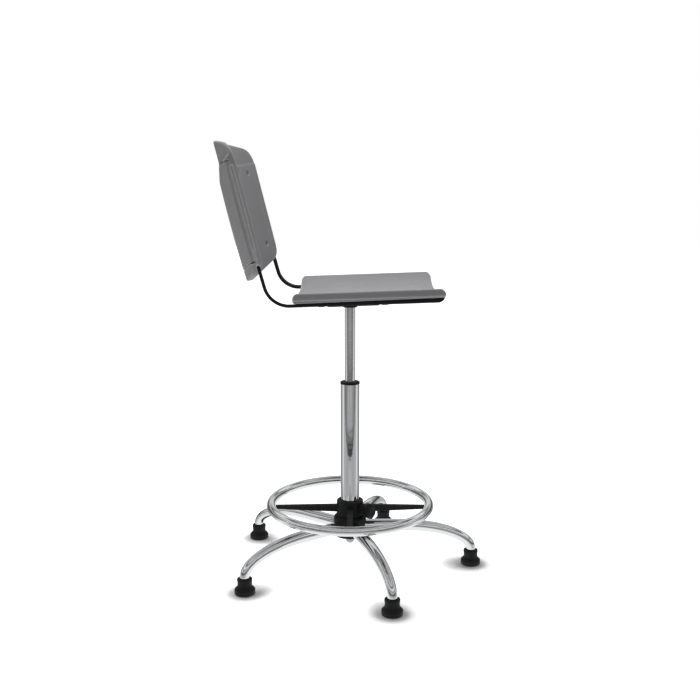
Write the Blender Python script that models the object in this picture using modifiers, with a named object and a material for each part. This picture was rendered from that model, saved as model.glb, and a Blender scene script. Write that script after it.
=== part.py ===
"""High swivel stool: five-leg base on glides, gas lift, adjustable foot ring, moulded seat and backrest.

Metres, +Z up. The origin is on the floor under the column's axis, and the sitter faces -Y.
"""

import math

import bmesh
import bpy
from mathutils import Matrix, Vector

# Clearances
FIT = 0.0003
STOP_GAP = 0.0006
PIN_PLAY = 0.0003
SMALL_EDGE = 0.001

# Width over all, which the backrest, the side bars and the seat share
BACK_HALF_WIDTH = 0.230
BAR_X = BACK_HALF_WIDTH - 0.0135
SEAT_HALF_WIDTH = BAR_X + 0.0128
SEAT_FLAT_HALF = BAR_X - 0.0865

# Glides and their stems
GLIDE_HEIGHT = 0.041
GLIDE_FLANGE_R = 0.0265
GLIDE_FLANGE_HEIGHT = 0.0165
GLIDE_NECK_R = 0.0192
GLIDE_EDGE = 0.003
STEM_R = 0.0055
STEM_IN_GLIDE = 0.024
STEM_IN_LEG = 0.022

# Legs
LEG_COUNT = 5
FOOT_CIRCLE_R = 0.3265
LEG_RISE = 0.069
LEG_STRAIGHT_R = 0.145
LEG_SOCKET_R = 0.031
LEG_HUB_WIDTH = 0.034
LEG_HUB_HEIGHT = 0.031
LEG_FOOT_WIDTH = 0.0255
LEG_BEND_STEPS = 7
LEG_SIDES = 12

# Base hub
HUB_R = 0.0435
HUB_TOP_R = 0.036
HUB_ABOVE_LEGS = 0.030
HUB_BELOW_LEGS = 0.026
HUB_SHOULDER = 0.011
HUB_CHAMFER = 0.003

# Column tube and the guide in its mouth
COLUMN_R = 0.025
COLUMN_WALL = 0.0018
COLUMN_LENGTH = 0.4165
COLUMN_BELOW_HUB = 0.002
COLUMN_FLOOR = 0.004
GUIDE_CAP_R = 0.0262
GUIDE_CAP_HEIGHT = 0.0065
GUIDE_DEPTH = 0.085

# Gas lift
CYLINDER_R = 0.014
CYLINDER_BORE_R = 0.0115
CYLINDER_SHOWN = 0.1955
CYLINDER_GLAND = 0.018
CYLINDER_HEAD = 0.026
TAPER_LENGTH = 0.0184
TAPER_DROP = 0.0008
STROKE_DOWN = 0.190
STROKE_UP = 0.070
ROD_R = 0.005
PISTON_HEIGHT = 0.012
BUTTON_R = 0.004
BUTTON_SHOWN = 0.0045
BUTTON_SUNK = 0.008
BUTTON_TRAVEL = 0.003

# Thrust bearing, bumper and the collar under the column
WASHER_R = 0.0165
WASHER_HEIGHT = 0.0015
CAGE_HEIGHT = 0.0035
BUMPER_R = 0.013
BUMPER_HEIGHT = 0.012
COLLAR_R = 0.0108
COLLAR_HEIGHT = 0.0175
CLIP_R = 0.0085
CLIP_HEIGHT = 0.0015
ROD_TAIL = 0.002

# Foot ring
RING_R = 0.2105
RING_TUBE_R = 0.0122
RING_ABOVE_HUB_BOTTOM = 0.0294
RING_HUB_R = 0.0355
RING_HUB_HEIGHT = 0.0414
RING_HUB_CHAMFER = 0.003
LINER_WALL = 0.0022
LINER_INSET = 0.001
SPOKE_COUNT = 4
SPOKE_TOP = 0.0270
SPOKE_TIP_TOP = 0.0245
SPOKE_BOTTOM = 0.0065
SPOKE_TIP_BOTTOM = 0.0145
SPOKE_FLANGE = 0.004
SPOKE_HUB_WIDTH = 0.016
SPOKE_TIP_WIDTH = 0.011
SPOKE_WEB = 0.005

# Clamp knob, on an axis between two spokes
KNOB_ANGLE = math.radians(236.0)
KNOB_Z = 0.0195
KNOB_R = 0.0205
KNOB_LENGTH = 0.0225
KNOB_LOBES = 6
KNOB_LOBE_DEPTH = 0.0016
BOSS_R = 0.011
BOSS_REACH = 0.0135
CLAMP_TRAVEL = 0.003
STUD_R = 0.004
PAD_LENGTH = 0.004

# Side bars: one flat-oval bar a side, under the seat and up into the backrest
BAR_WIDTH = 0.020
BAR_THICKNESS = 0.008
BAR_CANT = math.radians(8.0)
BAR_FRONT_Y = -0.2185
BAR_CORNER_Y = 0.1886
BAR_BEND_R = 0.060
BAR_BEND_STEPS = 8
RAIL_INSET = 0.004
RAIL_THICKNESS = 0.004
BAR_ENTRY_Z = -0.125
BAR_TOP_Z = 0.120
BAR_BEHIND_FACE = 0.0081

# Seat shell
SEAT_TILT = math.radians(2.0)
SOCKET_BELOW_BARS = 0.0341
SEAT_RIM_HEIGHT = 0.0295
SEAT_FRONT_Y = -0.2262
SEAT_REAR_Y = 0.135
SEAT_WALL = 0.0045
SEAT_RIM_WIDTH = 0.0068
SEAT_LIP_HEIGHT = 0.0160
SEAT_LIP_STEP = 0.0014
SEAT_BAND_RISE = 0.0033
SEAT_NOSE_R = 0.0058
SEAT_FRONT_CORNER_R = 0.0145
SEAT_REAR_CORNER_R = 0.013
PAN_TOP = 0.002
WATERFALL_DROP = 0.006
WATERFALL_LENGTH = 0.050
SEAT_BOSS_R = 0.009
SEAT_BOSS_X = SEAT_FLAT_HALF - 0.025
SEAT_BOSS_HEIGHT = 0.003

# Cross members between the side bars
CROSS_WIDTH = 0.020
CROSS_THICKNESS = 0.008
CROSS_FRONT_Y = -0.085
CROSS_REAR_Y = 0.070
CROSS_LEVEL_HALF = SEAT_FLAT_HALF + 0.020
CROSS_RISE_END = BAR_X - 0.0305

# Mechanism tray with the tapered socket
TRAY_HALF_WIDTH = 0.060
TRAY_DEPTH = 0.012
TRAY_SHEET = 0.0025
TRAY_CORNER = 0.004
SOCKET_R = 0.019
SOCKET_HEIGHT = 0.0204
EAR_LENGTH = 0.014
EAR_GAP = 0.0006

# Lever
LEVER_PIVOT_X = 0.045
LEVER_WIDTH = 0.014
LEVER_THICKNESS = 0.004
LEVER_INNER_X = -0.006
LEVER_OUTER_X = BACK_HALF_WIDTH + 0.008
LEVER_DROP = 0.0136
LEVER_BOSS_R = 0.0045
LEVER_PIN_R = 0.002
GRIP_LENGTH = 0.080
GRIP_WIDTH = 0.024
GRIP_THICKNESS = 0.009

# Backrest
BACK_Y = 0.2325
BACK_Z = 0.2098
BACK_RECLINE = math.radians(13.9)
BACK_RADIUS = 0.517
BACK_MIDDLE = 0.0515
BACK_COLUMNS = 7
BACK_PANEL = 0.0093
BACK_WALL = 0.0040
BACK_TOP_Z = 0.1945
BACK_TOP_ARCH = 0.0270
BACK_BOTTOM_Z = -0.1626
BACK_BOTTOM_ARCH = 0.0300
BACK_TOP_CORNER_R = 0.046
BACK_BOTTOM_CORNER_R = 0.036
BACK_FRONT_ROUND = 0.003
BACK_REAR_ROUND = 0.0035
CREASE_Z = 0.130
CREASE_HEIGHT = 0.008
CREASE_DEPTH = 0.0040
RIM_WALL = 0.0032
RIM_DEPTH = 0.015
APRON_HEIGHT = 0.0260
APRON_ARCH = 0.0260
APRON_SLOT = 0.0010

# Rear cover of the backrest
COVER_RADIUS = 0.594
COVER_MIDDLE = 0.0733
COVER_INSET = 0.0015
COVER_WALL = 0.0028
COVER_ROUND = 0.003
COVER_TOP_Z = 0.130
COVER_CORNER_R = 0.004
COVER_LOW_CORNER_R = 0.012
COVER_FALL = 0.0033
COVER_FALL_AT = 0.152
COVER_CHAMFER_HEIGHT = 0.040
COVER_CHAMFER_DEPTH = 0.0075
CHAMFER_COLUMNS = 4
SHOULDER_FADE = 0.017
BACK_BOSS_R = 0.0080
BACK_BOSS_DEPTH = 0.0080
COVER_BOSS_R = 0.0060

# Strap behind the shell that ties the side bars' top ends
STRAP_Z = 0.111
STRAP_HEIGHT = 0.014
STRAP_THICKNESS = 0.0025

# Screws of the backrest: across, up
BACK_SCREW_UPPER = ((BACK_HALF_WIDTH - 0.050, 0.109), (BACK_HALF_WIDTH - 0.110, 0.112))
BACK_SCREW_LOWER = ((BACK_HALF_WIDTH - 0.045, -0.088),)
SCREW_HEAD_R = 0.0050
SCREW_HEAD_HEIGHT = 0.0025
SCREW_SHANK_R = 0.0021
SCREW_RECESS_R = 0.0062
SCREW_RECESS_DEPTH = 0.0042
BACK_SCREW_LENGTH = 0.0100
SEAT_SCREW_BITE = 0.0045
TRAY_BOLT_HEAD_R = 0.0065
TRAY_BOLT_X = 0.048
TRAY_BOLT_BITE = 0.0075

# Facets
COLUMN_SIDES = 28
SMALL_SIDES = 16
GLIDE_SIDES = 14
SCREW_SIDES = 8
RING_SIDES = 44
RING_TUBE_SIDES = 10

# Heights that follow from the sizes above
LEG_Z = GLIDE_HEIGHT + FIT + LEG_RISE
HUB_BOTTOM = LEG_Z - HUB_BELOW_LEGS
HUB_TOP = LEG_Z + HUB_ABOVE_LEGS
COLUMN_BOTTOM = HUB_BOTTOM - COLUMN_BELOW_HUB
COLUMN_TOP = COLUMN_BOTTOM + COLUMN_LENGTH
GUIDE_TOP = COLUMN_TOP + FIT + GUIDE_CAP_HEIGHT
SOCKET_BOTTOM = GUIDE_TOP + CYLINDER_SHOWN
SEAT_Z = SOCKET_BOTTOM + SOCKET_BELOW_BARS
BEARING_BOTTOM = COLUMN_BOTTOM + COLUMN_FLOOR + FIT
CAGE_BOTTOM = BEARING_BOTTOM + WASHER_HEIGHT + FIT
UPPER_WASHER_BOTTOM = CAGE_BOTTOM + CAGE_HEIGHT + FIT
BUMPER_BOTTOM = UPPER_WASHER_BOTTOM + WASHER_HEIGHT + FIT
BUMPER_TOP = BUMPER_BOTTOM + BUMPER_HEIGHT
CYLINDER_BOTTOM = BUMPER_TOP + STOP_GAP + STROKE_DOWN
CYLINDER_TOP = SOCKET_BOTTOM + TAPER_LENGTH
PISTON_BOTTOM = CYLINDER_BOTTOM + CYLINDER_GLAND + STROKE_UP + STOP_GAP
RING_HUB_BOTTOM = HUB_TOP + FIT

# Seat heights, in the seat's own tilted frame, whose zero is the side bars' centreline
CROSS_Z = PAN_TOP - SEAT_WALL - SEAT_BOSS_HEIGHT - FIT - CROSS_THICKNESS / 2
TRAY_TOP = CROSS_Z - CROSS_THICKNESS / 2 - FIT
LEVER_Z = CYLINDER_TOP + BUTTON_SHOWN - SEAT_Z + FIT + LEVER_THICKNESS / 2

# Depth of the side bars' axis in the backrest, behind the hollow of its front face
BAR_DEPTH_IN_BACK = BACK_MIDDLE - BACK_RADIUS + math.sqrt(BACK_RADIUS**2 - BAR_X**2) + BAR_BEHIND_FACE

# Radii that follow
LINER_BORE_R = COLUMN_R + FIT
LINER_R = LINER_BORE_R + LINER_WALL
RING_BORE_R = LINER_R + FIT
BOSS_END_R = RING_HUB_R + BOSS_REACH
KNOB_INNER_R = BOSS_END_R + FIT
PAD_INNER_R = RING_BORE_R

CHROME = ((0.80, 0.80, 0.82), 0.08, 1.0)
GREY_CHROME = ((0.62, 0.63, 0.66), 0.15, 1.0)
STEEL = ((0.55, 0.56, 0.58), 0.30, 1.0)
BLACK_STEEL = ((0.020, 0.020, 0.021), 0.45, 0.0)
BLACK_NYLON = ((0.022, 0.022, 0.023), 0.55, 0.0)
RUBBER = ((0.015, 0.015, 0.015), 0.85, 0.0)
GREY_PLASTIC = ((0.19, 0.185, 0.20), 0.42, 0.0)


def clear_scene():
    for obj in list(bpy.data.objects):
        bpy.data.objects.remove(obj, do_unlink=True)


def new_collection(name, hidden=False):
    collection = bpy.data.collections.new(name)
    bpy.context.scene.collection.children.link(collection)
    collection.hide_render = hidden
    return collection


clear_scene()
STOOL = new_collection("Swivel stool")
CUTTERS = new_collection("Cutters", hidden=True)


def finish(obj, look):
    """Gives the object its own material from a colour, a roughness and a metallic value."""
    colour, roughness, metallic = look
    material = bpy.data.materials.new(obj.name + "_finish")
    material.use_nodes = True
    shader = material.node_tree.nodes["Principled BSDF"]
    shader.inputs["Base Color"].default_value = (*colour, 1.0)
    shader.inputs["Roughness"].default_value = roughness
    shader.inputs["Metallic"].default_value = metallic
    material.diffuse_color = (*colour, 1.0)
    obj.data.materials.clear()
    obj.data.materials.append(material)


def add_piece(name, mesh, look, parent=None, location=(0, 0, 0), rotation=(0, 0, 0)):
    obj = bpy.data.objects.new(name, mesh)
    STOOL.objects.link(obj)
    obj.parent = parent
    obj.location = location
    obj.rotation_euler = rotation
    finish(obj, look)
    return obj


def add_cutter(name, mesh, parent=None, location=(0, 0, 0), rotation=(0, 0, 0), group=None):
    obj = bpy.data.objects.new(name, mesh)
    (group or CUTTERS).objects.link(obj)
    obj.parent = parent
    obj.location = location
    obj.rotation_euler = rotation
    obj.hide_render = True
    obj.display_type = "WIRE"
    return obj


def cutter_group(name):
    group = bpy.data.collections.new(name)
    CUTTERS.children.link(group)
    return group


def add_frame(name, parent=None, location=(0, 0, 0), rotation=(0, 0, 0)):
    """An empty that holds pieces in their own frame."""
    empty = bpy.data.objects.new(name, None)
    STOOL.objects.link(empty)
    empty.empty_display_size = 0.03
    empty.parent = parent
    empty.location = location
    empty.rotation_euler = rotation
    return empty


def boolean(obj, operation, other):
    modifier = obj.modifiers.new(operation.title(), "BOOLEAN")
    modifier.operation = operation
    modifier.solver = "EXACT"
    if isinstance(other, bpy.types.Collection):
        modifier.operand_type = "COLLECTION"
        modifier.collection = other
    else:
        modifier.object = other


def bevel(obj, width, segments=2, angle=40.0):
    modifier = obj.modifiers.new("Edges", "BEVEL")
    modifier.width = width
    modifier.segments = segments
    modifier.limit_method = "ANGLE"
    modifier.angle_limit = math.radians(angle)


def shade(mesh, angle=35.0):
    mesh.shade_smooth()
    mesh.set_sharp_from_angle(angle=math.radians(angle))


def turned_mesh(name, profile, ring=False):
    """Profile of a turned body: (radius, height) points down its outer side, in the XZ plane."""
    mesh = bpy.data.meshes.new(name)
    count = len(profile)
    edges = [(i, i + 1) for i in range(count - 1)]
    if ring:
        edges.append((count - 1, 0))
    mesh.from_pydata([(radius, 0.0, height) for radius, height in profile], edges, [])
    return mesh


def turn(obj, sides):
    screw = obj.modifiers.new("Turn", "SCREW")
    screw.axis = "Z"
    screw.steps = sides
    screw.render_steps = sides
    screw.use_merge_vertices = True
    screw.merge_threshold = 0.00001
    screw.use_smooth_shade = True
    return obj


def turned(name, profile, look, sides=SMALL_SIDES, ring=False, **place):
    return turn(add_piece(name, turned_mesh(name, profile, ring), look, **place), sides)


def turned_cutter(name, profile, sides=SMALL_SIDES, ring=False, **place):
    return turn(add_cutter(name, turned_mesh(name, profile, ring), **place), sides)


def cylinder_profile(radius, low, high):
    return [(0.0, high), (radius, high), (radius, low), (0.0, low)]


def tube_profile(outer, inner, low, high):
    return [(outer, high), (outer, low), (inner, low), (inner, high)]


def mesh_of_curve(curve_object, matrix):
    """The curve as a mesh with its caps welded, moved by the matrix. The curve is removed."""
    STOOL.objects.link(curve_object)
    bpy.context.view_layer.update()
    graph = bpy.context.evaluated_depsgraph_get()
    mesh = bpy.data.meshes.new_from_object(curve_object.evaluated_get(graph))
    work = bmesh.new()
    work.from_mesh(mesh)
    bmesh.ops.remove_doubles(work, verts=work.verts, dist=0.000001)
    bmesh.ops.transform(work, matrix=matrix, verts=work.verts)
    bmesh.ops.recalc_face_normals(work, faces=work.faces)
    work.to_mesh(mesh)
    work.free()
    bpy.data.objects.remove(curve_object, do_unlink=True)
    return mesh


def plate_mesh(name, outline, thickness, matrix=Matrix()):
    """A flat outline in the XY plane, extruded half its thickness each way along Z."""
    curve = bpy.data.curves.new(name, "CURVE")
    curve.dimensions = "2D"
    curve.fill_mode = "BOTH"
    curve.extrude = thickness / 2
    spline = curve.splines.new("POLY")
    spline.points.add(len(outline) - 1)
    for point, (x, y) in zip(spline.points, outline):
        point.co = (x, y, 0.0, 1.0)
    spline.use_cyclic_u = True
    return mesh_of_curve(bpy.data.objects.new(name, curve), matrix)


# Stands an outline drawn as (x, z) or as (y, z) upright
AS_XZ = Matrix.Rotation(math.radians(90), 4, "X")
AS_YZ = Matrix.Rotation(math.radians(90), 4, "Z") @ AS_XZ


def box_mesh(name, low, high):
    work = bmesh.new()
    bmesh.ops.create_cube(work, size=1.0)
    low = Vector(low)
    high = Vector(high)
    bmesh.ops.scale(work, vec=high - low, verts=work.verts)
    bmesh.ops.translate(work, vec=(low + high) / 2, verts=work.verts)
    mesh = bpy.data.meshes.new(name)
    work.to_mesh(mesh)
    work.free()
    return mesh


def loft_mesh(name, sections):
    """Skins a row of closed sections with the same number of points, and caps both ends."""
    work = bmesh.new()
    rings = [[work.verts.new(point) for point in section] for section in sections]
    for near, far in zip(rings, rings[1:]):
        for i, vert in enumerate(near):
            j = (i + 1) % len(near)
            work.faces.new((vert, near[j], far[j], far[i]))
    work.faces.new(list(reversed(rings[0])))
    work.faces.new(rings[-1])
    bmesh.ops.recalc_face_normals(work, faces=work.faces)
    mesh = bpy.data.meshes.new(name)
    work.to_mesh(mesh)
    work.free()
    shade(mesh)
    return mesh


def arc(centre, radius, start, end, steps):
    """Points of an arc, angles in degrees, both ends included."""
    points = []
    for i in range(steps + 1):
        angle = math.radians(start + (end - start) * i / steps)
        points.append((centre[0] + radius * math.cos(angle), centre[1] + radius * math.sin(angle)))
    return points


def fillet(before, corner, after, radius, steps):
    """Points of the arc that rounds the corner between two straight runs."""
    corner = Vector(corner)
    towards_before = (Vector(before) - corner).normalized()
    towards_after = (Vector(after) - corner).normalized()
    half = towards_before.angle(towards_after) / 2
    start = corner + towards_before * (radius / math.tan(half))
    centre = corner + (towards_before + towards_after).normalized() * (radius / math.sin(half))
    arm = start - centre
    turn_angle = math.pi - 2 * half
    sign = -1.0 if towards_before.cross(towards_after) > 0 else 1.0
    points = []
    for i in range(steps + 1):
        angle = sign * turn_angle * i / steps
        cosine = math.cos(angle)
        sine = math.sin(angle)
        spun = Vector((arm.x * cosine - arm.y * sine, arm.x * sine + arm.y * cosine))
        points.append(tuple(centre + spun))
    return points


def mirrored(half):
    """A closed outline from its right half, which runs from the middle line to the middle line."""
    left = [(-x, z) for x, z in reversed(half) if abs(x) > 0.000001]
    return half + left


# Base


def leg_path():
    """Centreline of a leg as (radius, height): straight out of the hub, then a quarter ellipse down."""
    points = [(LEG_SOCKET_R, LEG_Z), ((LEG_SOCKET_R + LEG_STRAIGHT_R) / 2, LEG_Z)]
    reach = FOOT_CIRCLE_R - LEG_STRAIGHT_R
    for i in range(LEG_BEND_STEPS + 1):
        angle = math.radians(90) * (1 - i / LEG_BEND_STEPS)
        points.append(
            (LEG_STRAIGHT_R + reach * math.cos(angle), LEG_Z - LEG_RISE + LEG_RISE * math.sin(angle))
        )
    return points


def leg_sections(grow=0.0):
    """Oval sections square to the leg's path, from the hub's oval to the foot's round end."""
    path = [Vector(point) for point in leg_path()]
    sections = []
    for i, point in enumerate(path):
        along = (path[min(i + 1, len(path) - 1)] - path[max(i - 1, 0)]).normalized()
        if i == len(path) - 1:
            along = Vector((0.0, -1.0))
        up = Vector((-along.y, along.x))
        share = min(1.0, max(0.0, (point.x - LEG_STRAIGHT_R) / (FOOT_CIRCLE_R - LEG_STRAIGHT_R)))
        width = LEG_HUB_WIDTH + (LEG_FOOT_WIDTH - LEG_HUB_WIDTH) * share
        height = LEG_HUB_HEIGHT + (LEG_FOOT_WIDTH - LEG_HUB_HEIGHT) * share
        if i == 0:
            point = point - along * grow
        section = []
        for k in range(LEG_SIDES):
            angle = 2 * math.pi * k / LEG_SIDES
            across = (width / 2 + grow) * math.cos(angle)
            rise = (height / 2 + grow) * math.sin(angle)
            section.append((point.x + up.x * rise, across, point.y + up.y * rise))
        sections.append(section)
    return sections


def glide_profile():
    """Outer side of a glide, from the neck's top to the floor, with its waist and rounded flange."""
    waist = GLIDE_FLANGE_HEIGHT + GLIDE_EDGE
    return [
        (GLIDE_NECK_R - GLIDE_EDGE / 2, GLIDE_HEIGHT),
        (GLIDE_NECK_R, GLIDE_HEIGHT - GLIDE_EDGE / 2),
        (GLIDE_NECK_R, waist),
        (GLIDE_FLANGE_R - GLIDE_EDGE, GLIDE_FLANGE_HEIGHT),
        (GLIDE_FLANGE_R, GLIDE_FLANGE_HEIGHT - GLIDE_EDGE),
        (GLIDE_FLANGE_R, GLIDE_EDGE),
        (GLIDE_FLANGE_R - GLIDE_EDGE, 0.0),
    ]


def make_feet():
    stem_bottom = GLIDE_HEIGHT - STEM_IN_GLIDE
    stem_top = LEG_Z - LEG_RISE + STEM_IN_LEG
    leg = loft_mesh("leg", leg_sections())
    socket = loft_mesh("leg_socket", leg_sections(FIT))
    sockets = cutter_group("Leg sockets")
    for k in range(LEG_COUNT):
        heading = math.radians(-90 + 360 / LEG_COUNT * k)
        frame = add_frame(f"leg_frame_{k + 1}", rotation=(0, 0, heading))
        place = {"parent": frame, "location": (FOOT_CIRCLE_R, 0, 0)}
        bore = turned_cutter(
            f"stem_bore_{k + 1}",
            cylinder_profile(STEM_R + FIT, stem_bottom - FIT, stem_top + FIT),
            SCREW_SIDES,
            **place,
        )
        piece = add_piece(f"leg_{k + 1}", leg.copy(), CHROME, parent=frame)
        boolean(piece, "DIFFERENCE", bore)
        glide = turned(
            f"glide_{k + 1}", [(0.0, GLIDE_HEIGHT), *glide_profile(), (0.0, 0.0)], BLACK_NYLON, GLIDE_SIDES, **place
        )
        boolean(glide, "DIFFERENCE", bore)
        stem = [
            (0.0, stem_top),
            (STEM_R * 0.75, stem_top),
            (STEM_R, stem_top - STEM_R * 0.5),
            (STEM_R, stem_bottom),
            (0.0, stem_bottom),
        ]
        turned(f"glide_stem_{k + 1}", stem, STEEL, SCREW_SIDES, **place)
        add_cutter(f"leg_socket_{k + 1}", socket, parent=frame, group=sockets)
    return sockets


def make_base_hub(sockets):
    bore = COLUMN_R + FIT
    shoulder = HUB_TOP - HUB_SHOULDER
    profile = [
        (bore, HUB_TOP),
        (HUB_TOP_R, HUB_TOP),
        (HUB_TOP_R + (HUB_R - HUB_TOP_R) * 0.7, HUB_TOP - HUB_SHOULDER * 0.35),
        (HUB_R, shoulder),
        (HUB_R, HUB_BOTTOM + HUB_CHAMFER),
        (HUB_R - HUB_CHAMFER, HUB_BOTTOM),
        (bore, HUB_BOTTOM),
    ]
    hub = turned("base_hub", profile, BLACK_STEEL, COLUMN_SIDES, ring=True)
    boolean(hub, "DIFFERENCE", sockets)


def make_column():
    inner = COLUMN_R - COLUMN_WALL
    turned(
        "column_tube",
        [
            (COLUMN_R, COLUMN_TOP),
            (COLUMN_R, COLUMN_BOTTOM),
            (ROD_R + STOP_GAP, COLUMN_BOTTOM),
            (ROD_R + STOP_GAP, COLUMN_BOTTOM + COLUMN_FLOOR),
            (inner, COLUMN_BOTTOM + COLUMN_FLOOR),
            (inner, COLUMN_TOP),
        ],
        CHROME,
        COLUMN_SIDES,
        ring=True,
    )
    bore = CYLINDER_R + FIT
    cap_bottom = COLUMN_TOP + FIT
    turned(
        "guide_collar",
        [
            (bore, GUIDE_TOP),
            (GUIDE_CAP_R - GUIDE_CAP_HEIGHT * 0.3, GUIDE_TOP),
            (GUIDE_CAP_R, GUIDE_TOP - GUIDE_CAP_HEIGHT * 0.3),
            (GUIDE_CAP_R, cap_bottom),
            (inner - FIT, cap_bottom),
            (inner - FIT, COLUMN_TOP - GUIDE_DEPTH),
            (bore, COLUMN_TOP - GUIDE_DEPTH),
        ],
        BLACK_NYLON,
        COLUMN_SIDES,
        ring=True,
    )


def make_bearing(spindle):
    bore = ROD_R + FIT
    lower = tube_profile(WASHER_R, bore, BEARING_BOTTOM, BEARING_BOTTOM + WASHER_HEIGHT)
    turned("bearing_washer_lower", lower, STEEL, ring=True)
    cage_middle = CAGE_BOTTOM + CAGE_HEIGHT / 2
    bulge = CAGE_HEIGHT / 2
    cage = [
        (WASHER_R - bulge, CAGE_BOTTOM + CAGE_HEIGHT),
        (WASHER_R, cage_middle),
        (WASHER_R - bulge, CAGE_BOTTOM),
        (bore + bulge, CAGE_BOTTOM),
        (bore, cage_middle),
        (bore + bulge, CAGE_BOTTOM + CAGE_HEIGHT),
    ]
    turned("bearing_ball_cage", cage, STEEL, ring=True)
    upper = tube_profile(WASHER_R, bore, UPPER_WASHER_BOTTOM, UPPER_WASHER_BOTTOM + WASHER_HEIGHT)
    turned("bearing_washer_upper", upper, STEEL, ring=True, parent=spindle)
    bumper = [
        (BUMPER_R - 0.001, BUMPER_TOP),
        (BUMPER_R, BUMPER_TOP - BUMPER_HEIGHT / 2),
        (BUMPER_R - 0.001, BUMPER_BOTTOM),
        (bore, BUMPER_BOTTOM),
        (bore, BUMPER_TOP),
    ]
    turned("bumper", bumper, RUBBER, ring=True, parent=spindle)


def make_rod(spindle):
    collar_top = COLUMN_BOTTOM - FIT
    collar_bottom = collar_top - COLLAR_HEIGHT
    clip_top = collar_bottom - FIT
    tail = clip_top - CLIP_HEIGHT - ROD_TAIL
    piston_r = CYLINDER_BORE_R - FIT
    rod = [
        (0.0, PISTON_BOTTOM + PISTON_HEIGHT),
        (piston_r, PISTON_BOTTOM + PISTON_HEIGHT),
        (piston_r, PISTON_BOTTOM),
        (ROD_R, PISTON_BOTTOM),
        (ROD_R, tail),
        (0.0, tail),
    ]
    turned("piston_rod", rod, STEEL, SMALL_SIDES, parent=spindle)
    bore = ROD_R + FIT
    collar = [
        (COLLAR_R - 0.001, collar_top),
        (COLLAR_R, collar_top - 0.001),
        (COLLAR_R, collar_bottom + 0.002),
        (COLLAR_R - 0.002, collar_bottom),
        (bore, collar_bottom),
        (bore, collar_top),
    ]
    turned("rod_collar", collar, STEEL, ring=True, parent=spindle)
    clip = tube_profile(CLIP_R, bore, clip_top - CLIP_HEIGHT, clip_top)
    turned("rod_clip", clip, STEEL, ring=True, parent=spindle)


# Foot ring


def ring_torus(name, tube_r):
    bpy.ops.mesh.primitive_torus_add(
        major_segments=RING_SIDES,
        minor_segments=RING_TUBE_SIDES,
        major_radius=RING_R,
        minor_radius=tube_r,
    )
    obj = bpy.context.object
    mesh = obj.data
    mesh.name = name
    bpy.data.objects.remove(obj, do_unlink=True)
    shade(mesh)
    return mesh


def spoke_meshes():
    """A moulded spoke of T section: its flat top flange, seen from above, and its web, seen from the side."""
    root = RING_HUB_R - RING_HUB_CHAMFER
    tip = RING_R
    flange = [
        (root, -SPOKE_HUB_WIDTH / 2),
        (tip, -SPOKE_TIP_WIDTH / 2),
        (tip, SPOKE_TIP_WIDTH / 2),
        (root, SPOKE_HUB_WIDTH / 2),
    ]
    slope = math.atan2(SPOKE_TOP - SPOKE_TIP_TOP, tip - root)
    level = Matrix.Translation((root, 0, SPOKE_TOP - SPOKE_FLANGE / 2)) @ Matrix.Rotation(slope, 4, "Y")
    level = level @ Matrix.Translation((-root, 0, 0))
    web = [
        (root, SPOKE_BOTTOM),
        (tip, SPOKE_TIP_BOTTOM),
        (tip, SPOKE_TIP_TOP - SPOKE_FLANGE / 2),
        (root, SPOKE_TOP - SPOKE_FLANGE / 2),
    ]
    return plate_mesh("spoke_flange", flange, SPOKE_FLANGE, level), plate_mesh("spoke_web", web, SPOKE_WEB, AS_XZ)


def make_foot_ring(frame):
    add_piece("foot_ring", ring_torus("foot_ring", RING_TUBE_R), CHROME, parent=frame,
              location=(0, 0, RING_ABOVE_HUB_BOTTOM))
    profile = [
        (RING_BORE_R, RING_HUB_HEIGHT),
        (RING_HUB_R - RING_HUB_CHAMFER, RING_HUB_HEIGHT),
        (RING_HUB_R, RING_HUB_HEIGHT - RING_HUB_CHAMFER),
        (RING_HUB_R, RING_HUB_CHAMFER),
        (RING_HUB_R + 0.0015, 0.0),
        (RING_BORE_R, 0.0),
    ]
    hub = turned("ring_hub", profile, BLACK_NYLON, COLUMN_SIDES, ring=True, parent=frame)
    flange, web = spoke_meshes()
    spokes = cutter_group("Spokes")
    for k in range(SPOKE_COUNT):
        heading = (0, 0, 2 * math.pi * k / SPOKE_COUNT)
        spoke = add_cutter(f"spoke_{k + 1}", flange, parent=frame, rotation=heading, group=spokes)
        boolean(spoke, "UNION", add_cutter(f"spoke_web_{k + 1}", web, parent=frame, rotation=heading))
    boss = turned_cutter(
        "clamp_boss", cylinder_profile(BOSS_R, RING_BORE_R + LINER_WALL, BOSS_END_R), SMALL_SIDES,
        parent=frame, location=(0, 0, KNOB_Z), rotation=(0, math.pi / 2, KNOB_ANGLE), group=spokes,
    )
    boolean(hub, "UNION", spokes)
    boolean(hub, "DIFFERENCE", add_cutter(
        "ring_saddle", ring_torus("ring_saddle", RING_TUBE_R + FIT), parent=frame,
        location=(0, 0, RING_ABOVE_HUB_BOTTOM),
    ))
    hole = turned_cutter(
        "clamp_hole", cylinder_profile(STUD_R + FIT, 0.0, BOSS_END_R + BOSS_REACH), SMALL_SIDES,
        parent=frame, location=boss.location, rotation=boss.rotation_euler,
    )
    boolean(hub, "DIFFERENCE", hole)


def make_liner(frame):
    low = LINER_INSET
    high = RING_HUB_HEIGHT - LINER_INSET
    turned("ring_liner", tube_profile(LINER_R, LINER_BORE_R, low, high), BLACK_NYLON, COLUMN_SIDES,
           ring=True, parent=frame)


def knob_outline(radius):
    """Outline of the grip: a circle with shallow lobes."""
    points = []
    count = KNOB_LOBES * 6
    for i in range(count):
        angle = 2 * math.pi * i / count
        lobed = radius - KNOB_LOBE_DEPTH * (1 - math.cos(KNOB_LOBES * angle)) / 2
        points.append((lobed * math.cos(angle), lobed * math.sin(angle)))
    return points


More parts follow.
